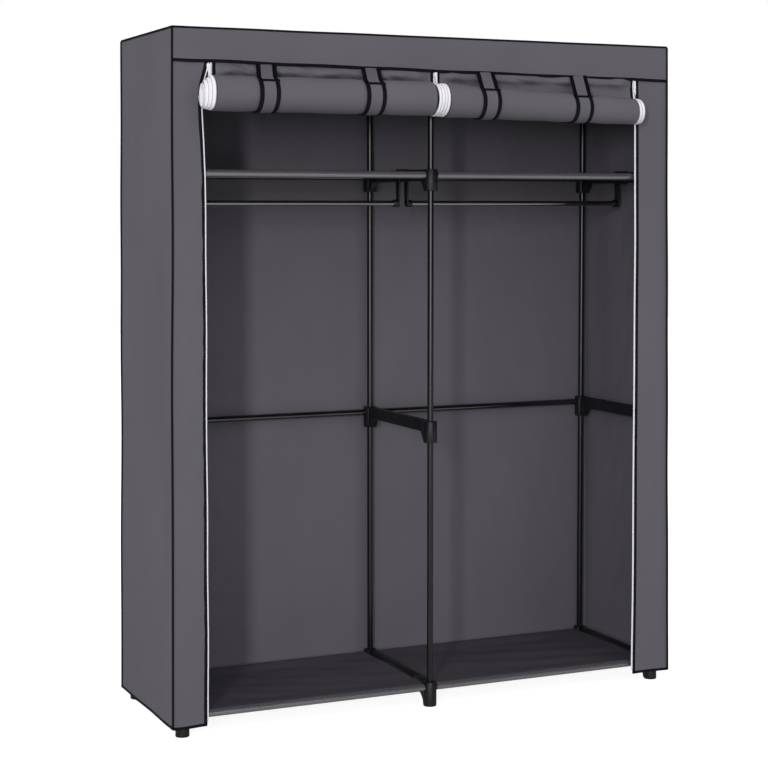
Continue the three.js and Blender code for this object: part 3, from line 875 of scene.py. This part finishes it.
def make_strip_edges(side):
    """The black tape and the white half of the zip on a front strip's free edge."""
    sign = SIDES[side]
    z = np.linspace(HEM + 0.002, TOP - 0.003, 260)
    edge = strip_inner(side, z)
    tape = rounded_section(0.0046, 0.0012)
    black = edge + np.array([sign * 0.0035, -0.0006, 0])
    trim(f"strip_tape_{side}", [(black, (1, 0, 0))], tape)
    white = edge + np.array([-sign * ZIP_TO_CLOTH, -0.0002, 0])
    white = white[(z > HEM + 0.004) & (z < STRIP_ZIP_TOP)]
    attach(chain(f"strip_zip_{side}", white, (1, 0, 0), CHAIN_WIDTH[side]), "wardrobe")


# The wound bands: the door that each is on, its turns, its way along X, the length of a turn, what a turn
# loses of the radius back to front and up and down, and of its height, and how far the turns slump
# below the front
EVEN = {"shrink": (0.0002, 0.0002), "sink": 0.0, "slump": 0.0}
TAPERED = {"shrink": (0.0068, 0.0035), "sink": 0.002, "slump": 0.09}
WOUND = {
    "left": {"door": "left", "turns": 3, "way": -1, "pitch": 0.0073, **TAPERED},
    "centre": {"door": "right", "turns": 4, "way": -1, "pitch": 0.008, **EVEN},
    "right": {"door": "right", "turns": 2, "way": 1, "pitch": 0.0085, **EVEN},
}
WOUND_DEPTH = 0.0027
WOUND_LAP = 0.0003
WOUND_INSET = 0.0012
# How far the left roll's cloth ends short, which its band takes up
LEFT_END_SET = 0.005
# How far the right roll hangs lower at its left end, drops to its right end and narrows on the way
RIGHT_DROP, RIGHT_SLOPE, RIGHT_TAPER = 0.003, 0.016, 0.21


def roll_place(side, x):
    """The roll's axis height and its radius share at x: the right roll narrows to its right end."""
    x = np.asarray(x, float)
    if side == "left":
        return ROLL_Z + 0 * x, 1 + 0 * x
    low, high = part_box("door_roll_right")
    share = np.clip((x - low.x) / (high.x - low.x), 0, 1)
    return ROLL_Z - RIGHT_DROP - RIGHT_SLOPE * share, 1 - RIGHT_TAPER * share


def end_cap_part(reach, centre):
    """The closed end of the left band: the tape's last turns, dished and faintly ringed."""
    shares = np.linspace(1, 0.003, 40)
    rings = 0.0003 * np.sin(shares * 2 * math.pi * 4.5)
    dish = 0.0022 - 0.0042 * (1 - shares**2) ** 0.8 + rings
    face = [(share, -depth) for share, depth in zip(shares, dish)]
    profile = [(0.003, 0.005), (1, 0.005)] + face
    points, faces = lathe_part(profile, (0, 0, 0), "x", 64)
    return points * np.array([1, *reach]) + np.array(centre), faces


def wound_path(name, turned):
    """The middle of a wound band's tape after each number of turns."""
    facts = WOUND[name]
    low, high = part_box(f"zip_wind_{name}")
    start = high.x if facts["way"] < 0 else low.x
    if name == "left":
        start += LEFT_END_SET
    full = ROLL_RADIUS - WOUND_INSET - WOUND_DEPTH + 0.0004 * np.sin(turned * 2 * math.pi * 1.7)
    full = full * (1 + facts["slump"] * np.exp(-((turned % 1 - 0.625) / 0.085) ** 2))
    deep, tall = [full - shrink * turned for shrink in facts["shrink"]]
    x = start + facts["way"] * facts["pitch"] * (0.5 + turned)
    z, share = roll_place(facts["door"], x)
    angle = turned * 2 * math.pi
    y = ROLL_BACK - ROLL_RADIUS * share + deep * share * np.cos(angle)
    return np.stack([x, y, z - facts["sink"] * turned + tall * share * np.sin(angle)], axis=1)


def make_wound(name):
    """The zip of a door's edge, in turns beside the cloth of the roll."""
    facts = WOUND[name]
    turned = np.linspace(0, facts["turns"], facts["turns"] * 72 + 1)
    path = wound_path(name, turned)
    lean = wound_path(name, turned + 1) - path
    width = np.linalg.norm(lean, axis=1)
    section = rounded_section(0.5, WOUND_DEPTH, 2.0, 16)
    made = [sweep_part(path, lean, section, width + 2 * WOUND_LAP)]
    if name == "left":
        base = ROLL_RADIUS - WOUND_INSET - WOUND_DEPTH * 1.5
        reach = [base - shrink * facts["turns"] for shrink in facts["shrink"]]
        cap = end_cap_part(reach, (path[-1][0], ROLL_Y, ROLL_Z - facts["sink"] * facts["turns"]))
        made.append((cap, np.zeros((len(cap[0]), 3))))
    wound = joined(f"wound_zip_{name}", made, GROOVE_SHADED_WOUND_ZIP, 70)
    door = f"door_{facts['door']}"
    stand_for(wound, f"zip_wind_{name}", door)
    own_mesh(wound)


def ring(z, radius, count=14):
    return [(radius * math.cos(a), z + radius * math.sin(a)) for a in around(count)]


SLIDER_SET = {"left": 0.0015, "centre": 0.0027, "right": -0.0102}
SLIDER_WIDTH = {"left": 1.0, "centre": 0.74, "right": 0.8}


def slider_parts(y, low, high):
    """A zip slider: two shells with a waist, a post between, a bridge and a tab with two holes."""
    base, crown = low.z + 0.016, high.z
    middle = (base + crown) / 2
    half, neck = 0.0056, 0.0036
    outline = [(-neck, base), (neck, base), (half, middle), (half, crown - 0.001), (0.002, crown),
               (0, crown - 0.003), (-0.002, crown), (-half, crown - 0.001), (-half, middle)]
    parts = [plate_part(outline, "y", y + start, y + start + 0.002, 0.0006) for start in (-0.0033, 0.0013)]
    parts.append(box_part((-0.0012, y - 0.0015, base + 0.002), (0.0012, y + 0.0015, crown - 0.004), 0.0003))
    bridge = [(y - 0.003, base + 0.004), (y - 0.0058, base + 0.006), (y - 0.0058, crown - 0.006),
              (y - 0.003, crown - 0.003)]
    parts.append(plate_part(bridge, "x", -0.0015, 0.0015, 0.0004))
    top, foot = base + 0.009, low.z - 0.0105
    half, round_z = 0.0038, foot + 0.0038
    tab = [(half * math.cos(a), round_z - half * math.sin(a)) for a in np.linspace(math.pi, 0, 9)]
    tab = [(-0.0026, top)] + tab + [(0.0026, top)]
    holes = [ring(round_z + 0.0004, 0.0021), ring(round_z + 0.0105, 0.0018)]
    parts.append(holed_plate(tab, holes, y - 0.0068, y - 0.0052))
    return parts


def holed_plate(outline, holes, low, high):
    """A plate in the X and Z plane with holes through it."""
    bm = bmesh.new()
    rings = []
    for points in (outline, *holes):
        verts = [bm.verts.new((a, low, b)) for a, b in points]
        rings.append([bm.edges.new((v, verts[(i + 1) % len(verts)])) for i, v in enumerate(verts)])
    bmesh.ops.triangle_fill(bm, edges=sum(rings, []), use_beauty=True)
    made = bmesh.ops.extrude_face_region(bm, geom=list(bm.faces))["geom"]
    moved = [v for v in made if isinstance(v, bmesh.types.BMVert)]
    bmesh.ops.translate(bm, verts=moved, vec=(0, high - low, 0))
    bmesh.ops.recalc_face_normals(bm, faces=bm.faces)
    return bm_part(bm)


def make_slider(name):
    low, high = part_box(f"zip_slider_{name}")
    x = (low.x + high.x) / 2
    y = high.y - 0.0033
    narrow = np.array([SLIDER_WIDTH[name], 1, 1])
    shift = np.array([x + SLIDER_SET[name], 0, 0])
    parts = [(np.array(points) * narrow + shift, faces) for points, faces in slider_parts(y, low, high)]
    flat = [p for points, _ in parts for p in points]
    slider = piece(f"slider_{name}", parts, ZIP, 35, flat)
    stand_for(slider, f"zip_slider_{name}", f"slider_{name}")


# Doors

STRAPS = {side: [centre_of(f"strap_{side}_{k}")[0] for k in ("outer", "inner")] for side in SIDES}
STRAP_WIDTH = 0.051
STRAP_THICKNESS = 0.0013
# How deep a strap presses its roll, how far along, and how the cloth swells and wavers between
PINCH_DEPTH, PINCH_REACH = 0.0016, 0.036
ROLL_SWELL, ROLL_WAVER = 0.0009, 0.0007


def roll_radius(side, x, angle):
    """The roll's radius for each place along it and angle round it, without its taper."""
    base = ROLL_RADIUS - CLOTH / 2 - ROLL_PITCH * angle / (2 * math.pi)
    pinch = sum(np.exp(-(((x - s) / PINCH_REACH) ** 2)) for s in STRAPS[side])
    seed = {"left": 101, "right": 111}[side]
    uneven = ripples(x, angle * 0.04, seed, 0.13, 0.3, 0.9) * ROLL_WAVER
    swell = ROLL_SWELL * (1 - np.clip(pinch, 0, 1))
    return base - PINCH_DEPTH * pinch + swell + uneven


ROLL_REACH = 0.003


def make_roll(side):
    low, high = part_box(f"door_roll_{side}")
    across, steps = 110, ROLL_TURNS * 60
    left_end = low.x + (LEFT_END_SET if side == "left" else 0) - ROLL_REACH
    right_end = high.x + (ROLL_REACH if side == "right" else 0)
    x = np.linspace(left_end, right_end, across)
    angle = np.linspace(0, ROLL_TURNS * 2 * math.pi, steps)
    gx, ga = np.meshgrid(x, angle)
    radius = roll_radius(side, gx, ga)
    z, share = roll_place(side, gx)
    centre_y = ROLL_BACK - ROLL_RADIUS * share
    skew = 0.0006 * np.sin(ga * 0.9 + 1.0) * np.cos(gx * 5)
    radius = radius * share
    grid = np.stack([gx + skew, centre_y + radius * np.cos(ga), z - radius * np.sin(ga)], axis=2)
    roll = sheet(f"door_roll_cloth_{side}", grid, DOOR)
    stand_for(roll, f"door_roll_{side}", f"door_{side}")
    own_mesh(roll)


BLEND_TOP = 1.69
BLEND_BOTTOM = 1.59
HEADER_BEND = 0.0035
# The fold over the roll: below the valance, forward, and half its height
FOLD_DROP = 0.019
FOLD_DEPTH = 0.0115
FOLD_HALF = 0.0115


def blend_door(obj):
    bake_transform(obj)


def drawn_back(z):
    """How far a door is drawn to the back of its roll: nought above the roll, one at its axis."""
    bend = ROLL_Z + ROLL_RADIUS + HEADER_BEND
    return np.clip((bend - z) / (bend - ROLL_Z), 0, 1)


def header_y(side, x, z):
    """How far back the stretch of door above the roll hangs: slack, with a fold lying over the roll."""
    seam = STRIP_Y + CLOTH / 2 + 0.0003
    y = seam + (ROLL_BACK - CLOTH / 2 - seam) * drawn_back(z)
    seed = {"left": 121, "right": 131}[side]
    crest = VALANCE - FOLD_DROP + 0.003 * wave(x, seed, 0.16)
    depth = FOLD_DEPTH + 0.004 * wave(x, seed + 1, 0.12)
    fold = depth * np.exp(-np.abs((z - crest) / FOLD_HALF) ** 2.4)
    loose = np.clip((VALANCE + 0.004 - z) / 0.012, 0, 1) * np.clip((z - (ROLL_Z + 0.02)) / 0.02, 0, 1)
    low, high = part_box(f"door_header_{side}")
    loose = loose * np.clip((np.minimum(x - low.x, high.x - x) - 0.012) / 0.03, 0, 1)
    fine = 0.0014 * ripples(x, z * 2.5, seed + 2, 0.045, 1.1, 0.5)
    return y - (fold + fine) * loose


def header_z(side, x, z):
    """The header's height, drawn down to the back of a roll that hangs lower at one end."""
    return z - (ROLL_Z - roll_place(side, x)[0]) * drawn_back(z)


# How far the black tape lies inside a header's edge and the white one outside it
HEADER_EDGES = {("left", 1): (0.0078, 0.0004), ("left", -1): (-0.0009, 0.0071),
                ("right", 1): (0.004, 0.0021), ("right", -1): (0.0115, -0.0053)}


def make_header(side):
    low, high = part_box(f"door_header_{side}")
    x = np.linspace(low.x, high.x, 190)
    z = np.concatenate([np.linspace(high.z, BLEND_TOP, 8)[:-1],
                        np.linspace(BLEND_TOP, BLEND_BOTTOM, 110)[:-1],
                        np.linspace(BLEND_BOTTOM, ROLL_Z + 0.001, 6)])
    gx, gz = np.meshgrid(x, z)
    gy = header_y(side, gx, gz)
    grid = np.stack([gx, gy, header_z(side, gx, gz)], axis=2)[::-1]
    header = sheet(f"door_header_cloth_{side}", grid, DOOR)
    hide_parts(f"door_header_{side}")
    blend_door(header)

    black, white = [], []
    for edge, way in ((low.x, 1), (high.x, -1)):
        inset, outset = HEADER_EDGES[side, way]
        path_x = np.full(len(z), edge + way * inset)
        path_z = header_z(side, path_x, z)
        path = np.stack([path_x, header_y(side, path_x, z) - 0.0002, path_z], axis=1)[::-1]
        black.append((path, (1, 0, 0)))
        white.append((path + np.array([-way * (inset + outset), -0.0006, 0]), (1, 0, 0)))
    blend_door(sweeps(f"header_tape_{side}", black, rounded_section(0.0042, 0.0012), TAPE))
    section = rounded_section(0.0023, 0.0009)
    blend_door(sweeps(f"header_zip_{side}", white, section, ZIP))


def strap_line(side, x):
    """The strap's path in Y and Z: from under the valance over and round the roll, then up behind."""
    z, share = roll_place(side, x)
    z, share = float(z), float(share)
    radius = (ROLL_RADIUS + 0.0004) * share + CLOTH / 2 + 0.0003
    centre = ROLL_BACK - ROLL_RADIUS * share
    start = (STRIP_Y - 0.0012, VALANCE - 0.0006)
    across, up = start[0] - centre, start[1] - z
    reach = math.hypot(across, up)
    meet = math.atan2(up, across) + math.acos(radius / reach)
    angles = np.linspace(meet, 2 * math.pi, 64)
    arc = np.stack([centre + radius * np.cos(angles), z + radius * np.sin(angles)], axis=1)
    flap = line(start, arc[0], 14)[:-1]
    behind = STRIP_Y + CLOTH + 0.0011
    rise = line(arc[-1], (behind, ROLL_Z + ROLL_RADIUS + 0.0035), 12)[1:]
    top = line(rise[-1], (behind, VALANCE + 0.042), 10)[1:]
    return np.concatenate([flap, arc, rise, top]), len(flap)


STRAP_SKEW = 0.022
BINDING_HALF = 0.0058


def make_strap(side, place, x):
    path, crest = strap_line(side, x)
    count = 13
    rows = len(path)
    across = np.linspace(-STRAP_WIDTH / 2, STRAP_WIDTH / 2, count)
    above = np.clip(1 - np.arange(rows) / crest, 0, 1)
    middle = x + STRAP_SKEW * above - 0.003 * (1 - above)
    gx = middle[:, None] + across
    gy = np.broadcast_to(path[:, :1], (rows, count))
    gz = np.broadcast_to(path[:, 1:], (rows, count))
    grid = np.stack([gx, gy, gz], axis=2)
    strap = sheet(f"strap_cloth_{side}_{place}", grid, DOOR, STRAP_THICKNESS)
    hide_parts(f"strap_{side}_{place}")
    tape = rounded_section(BINDING_HALF, 0.0015)
    made = []
    for way in (-1, 1):
        edge = middle + way * (STRAP_WIDTH / 2 - BINDING_HALF + 0.001)
        made.append(sweep_part(np.stack([edge, path[:, 0], path[:, 1]], axis=1), (1, 0, 0), tape))
    at = crest + int(np.argmax(path[crest:, 1] < roll_place(side, x)[0] + 0.0315))
    bar_y, bar_z = path[at]
    bar_x = middle[at]
    ends = [(bar_x + way * STRAP_WIDTH / 2 + 0.002, bar_y - 0.0012, bar_z + 0.0008) for way in (-1, 1)]
    slope = path[at + 1] - path[at - 1]
    made.append(sweep_part(line(*ends, 12), (0, slope[0], slope[1]), rounded_section(0.0034, 0.0019)))
    trim = joined(f"strap_tape_{side}_{place}", made, TAPE)
    for obj in (strap, trim):
        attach(obj, "wardrobe")
        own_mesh(obj)


# Frame

SLEEVE_SIDES = 48
BEAM_HALF = 0.010
BEAM_HEIGHT = 0.030
BEAM_WALL = 0.0025
WALL_LAP = 0.003
SLEEVE_HEIGHT = 0.056
GUSSET_RUN = 0.022
FOOT_GUSSET_RUN = 0.060
FOOT_EDGE = 0.0016
GUSSET_TOE = 0.004
POST_CLEARANCE = 0.0083


def sleeve_profile(radius, low, high, kind):
    """A sleeve's outline, from the bore's low edge round the outside to its high edge."""
    lip, bore = 0.0012, POST_CLEARANCE
    if kind == "foot":
        curve = [(radius - FOOT_EDGE + FOOT_EDGE * math.sin(a), low + FOOT_EDGE - FOOT_EDGE * math.cos(a))
                 for a in np.linspace(0, math.pi / 2, 7)]
        outside = [(0.0001, low)] + curve
    else:
        outside = [(bore, low), (radius - lip, low), (radius - 0.0003, low + lip * 0.4), (radius, low + lip)]
    if kind == "top":
        outside += [(radius, high - 0.003), (radius - 0.0008, high - 0.0012), (radius - 0.003, high - 0.0002),
                    (0.0001, high)]
        return outside + [(0.0001, high - 0.005), (bore, high - 0.005)]
    outside += [(radius, high - lip), (radius - 0.0003, high - lip * 0.4), (radius - lip, high)]
    outside += [(bore + 0.0006, high), (bore, high - 0.0006)]
    if kind == "foot":
        outside += [(bore, low + 0.008), (0.0001, low + 0.008)]
    return outside


def gusset_outline(inner, top, bottom, under, run, curved):
    """The gusset at one end of a beam, in Y and Z, for the sleeve on the positive side."""
    toe, heel = inner - GUSSET_TOE, inner - run
    steps = 10 if curved else 1
    points = []
    for i in range(steps + 1):
        turn = i / steps * math.pi / 2
        out = math.sin(turn) if curved else i / steps
        down = 1 - math.cos(turn) if curved else i / steps
        points.append((heel + (toe - heel) * out, under + (bottom - under) * down))
    return points + [(inner + 0.006, bottom), (inner + 0.006, top), (heel, top)]


def make_arm(level, column):
    node = f"{level}_arm_{column}"
    low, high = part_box(node)
    x, y, _ = centre_of(node)
    radius = (high.x - low.x) / 2
    post_y = (high.y - low.y) / 2 - radius
    top = high.z
    bottom = 0.0 if level == "foot" else top - SLEEVE_HEIGHT
    under = top - BEAM_HEIGHT
    kind = level if level in ("foot", "top") else "open"
    profile = sleeve_profile(radius, bottom, top, kind)
    parts = [lathe_part(profile, (x, y + way * post_y, 0), "z", SLEEVE_SIDES) for way in (-1, 1)]
    run = FOOT_GUSSET_RUN if level == "foot" else GUSSET_RUN
    inner = post_y - radius
    heel = inner - run
    outline = gusset_outline(inner, top, bottom, under, run, level == "foot")
    for way in (-1, 1):
        turned = [(y + way * a, b) for a, b in outline]
        parts.append(plate_part(turned, "x", x - BEAM_HALF, x + BEAM_HALF, 0.0011))
    reach = heel + WALL_LAP
    side_wall = rectangle(y - reach, y + reach, under, top)
    for way in (-1, 1):
        ends = sorted((x + way * BEAM_HALF, x + way * (BEAM_HALF - BEAM_WALL)))
        parts.append(plate_part(side_wall, "x", *ends, 0.0009))
    top_wall = rectangle(y - reach, y + reach, top - BEAM_WALL, top)
    parts.append(plate_part(top_wall, "x", x - BEAM_HALF + 0.0005, x + BEAM_HALF - 0.0005, 0.0004))
    for share in np.linspace(-1, 1, 7)[1:-1]:
        at = y + heel * share
        rib = rectangle(at - BEAM_WALL / 2, at + BEAM_WALL / 2, under + 0.002, top - 0.001)
        parts.append(plate_part(rib, "x", x - BEAM_HALF + 0.001, x + BEAM_HALF - 0.001, 0.0004))
    arm = piece(f"{level}_arm_moulding_{column}", parts, PLASTIC, 35)
    stand_for(arm, node)


TUBE_SIDES = 40
TUBE_WALL = 0.001
TUBE_CHAMFER = 0.0004


def tube_profile(radius, start, end):
    return [(radius - TUBE_WALL, start), (radius - TUBE_CHAMFER, start), (radius, start + TUBE_CHAMFER),
            (radius, end - TUBE_CHAMFER), (radius - TUBE_CHAMFER, end), (radius - TUBE_WALL, end)]


def make_tube(node, name):
    """A fine tube in the place of a CAD one, whose longest side gives its axis."""
    low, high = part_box(node)
    centre = (low + high) / 2
    size = high - low
    axis = "x" if size.x > size.z else "z"
    half = (size.x if axis == "x" else size.z) / 2
    radius = max(size.y, min(size.x, size.z)) / 2
    part = lathe_part(tube_profile(radius, -half, half), centre, axis, TUBE_SIDES)
    look = STEEL if axis == "z" else ROD_STEEL if node.startswith("hanging") else CROSS_STEEL
    tube = piece(name, [part], look, 40)
    stand_for(tube, node)


def make_bracket(column):
    """A saddle over the shelf arm, with a leg and a cup for each rod."""
    node = f"rod_bracket_{column}"
    low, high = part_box(node)
    x = COLUMNS[column]
    y = centre_of(node)[1]
    half_y = 0.012
    inner, outer = BEAM_HALF + 0.0003, BEAM_HALF + 0.0043
    top = high.z
    rod_low, rod_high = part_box("hanging_rod_left")
    rod_z = (rod_low.z + rod_high.z) / 2
    rod_radius = (rod_high.z - rod_low.z) / 2
    cup_radius = rod_radius + 0.0029
    bore = rod_radius + 0.0003
    ways = {"left": [1], "centre": [-1, 1], "right": [-1]}[column]
    parts = [box_part((x - outer, y - half_y, top - 0.003), (x + outer, y + half_y, top), 0.0008)]
    short = top - 0.003 - BEAM_HEIGHT - 0.004
    for way in (-1, 1):
        ends = sorted((x + way * inner, x + way * outer))
        half = [(half_y, top - 0.001), (half_y, short)]
        if way in ways:
            half = [(half_y, top - 0.001), (half_y, top - 0.035),
                    (cup_radius, rod_z + 0.004), (cup_radius, rod_z)]
        leg = [(y - a, b) for a, b in half] + [(y + a, b) for a, b in half[::-1]]
        parts.append(plate_part(leg, "x", *ends, 0.0008))
    for way in ways:
        face, mouth = inner, outer + 0.012
        profile = [(0.0001, face), (cup_radius - 0.001, face), (cup_radius, face + 0.001),
                   (cup_radius, mouth - 0.0012), (cup_radius - 0.0006, mouth), (bore + 0.0004, mouth),
                   (bore, mouth - 0.0006), (bore, outer), (0.0001, outer)]
        points, faces = lathe_part(profile, (0, 0, 0), "x", 36)
        points = points * np.array([way, 1, 1]) + np.array([x, y, rod_z])
        if way < 0:
            faces = [tuple(reversed(f)) for f in faces]
        parts.append((points, faces))
    bracket = piece(f"rod_bracket_moulding_{column}", parts, PLASTIC, 35)
    stand_for(bracket, node)


# Fabric shelves

# The radius of the sewn loops, how far the cloth sags and how high its creases stand
SHELF_LOOP = 0.0089
SHELF_SAG = 0.005
SHELF_CREASE = 0.0011
SHELF_THICKNESS = 0.001


def loop_round(y, z, start, end):
    """The sewn loop round a tube, from one angle in degrees to another, in Y and Z."""
    angles = np.linspace(math.radians(start), math.radians(end), 34)
    return [(y + SHELF_LOOP * math.cos(a), z + SHELF_LOOP * math.sin(a)) for a in angles]


def make_shelf(level, bay):
    node = f"{level}_shelf_{bay}"
    low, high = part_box(node)
    tubes = "bottom" if level == "bottom" else "shelf"
    _, front_y, tube_z = centre_of(f"{tubes}_tube_front_{bay}")
    _, back_y, _ = centre_of(f"{tubes}_tube_back_{bay}")
    across = 110
    x = np.linspace(low.x, high.x, across)
    front_loop = loop_round(front_y, tube_z, -60, -270)
    middle = [(v, tube_z + SHELF_LOOP) for v in np.linspace(front_y, back_y, 60)[1:-1]]
    back_loop = loop_round(back_y, tube_z, 90, -120)
    profile = np.array(front_loop + middle + back_loop)
    gx = np.broadcast_to(x, (len(profile), across))
    gy, gz = [np.broadcast_to(profile[:, k:k + 1], gx.shape) for k in range(2)]
    inside = np.clip((gy - front_y - 0.012) / 0.05, 0, 1) * np.clip((back_y - 0.012 - gy) / 0.05, 0, 1)
    side_share = arch((gx - low.x) / (high.x - low.x), 0.6)
    on_top = np.zeros((len(profile), 1))
    on_top[len(front_loop):len(front_loop) + len(middle)] = 1
    seed = {"left": 141, "right": 151}[bay] + (5 if level == "top" else 0)
    sag = SHELF_SAG * inside * side_share
    creases = SHELF_CREASE * ripples(gx, gy, seed, 0.11, 1.2, 0.8) * inside
    gz = gz + on_top * (creases - sag)
    grid = np.stack([gx, gy, gz], axis=2)
    shelf = sheet(f"{level}_shelf_cloth_{bay}", grid[::-1], SHELF, SHELF_THICKNESS)
    shelf.data.materials.append(SLEEVE)
    rows = len(profile) - 1
    hemmed = set(range(rows - len(front_loop) + 1, rows)) | set(range(0, len(back_loop) - 1))
    quads = across - 1
    for polygon in shelf.data.polygons:
        row = polygon.index % (rows * quads) // quads if polygon.index < 2 * rows * quads else -1
        if row in hemmed:
            polygon.material_index = 1
    stand_for(shelf, node)


def make_frame():
    for level in ("foot", "mid", "shelf", "top"):
        for column in COLUMNS:
            make_arm(level, column)
    for row in ROWS:
        for column in COLUMNS:
            make_tube(f"post_{row}_{column}", f"post_metal_{row}_{column}")
    for level, rows in (("bottom", ROWS), ("mid", ("back",)), ("shelf", ROWS), ("top", ROWS)):
        for row in rows:
            for bay in BAYS:
                make_tube(f"{level}_tube_{row}_{bay}", f"{level}_tube_metal_{row}_{bay}")
    for bay in BAYS:
        make_tube(f"hanging_rod_{bay}", f"hanging_rod_metal_{bay}")
    for column in COLUMNS:
        make_bracket(column)


make_camera()
make_studio()
make_frame()
for bay in BAYS:
    make_shelf("bottom", bay)
    make_shelf("top", bay)
make_roof()
make_valance()
make_back()
for side in SIDES:
    make_side(side)
    make_strip_edges(side)
    make_header(side)
    make_roll(side)
    for place, strap_x in zip(("outer", "inner"), STRAPS[side]):
        make_strap(side, place, strap_x)
make_piping()
make_hems()
for name in WOUND:
    make_wound(name)
    make_slider(name)
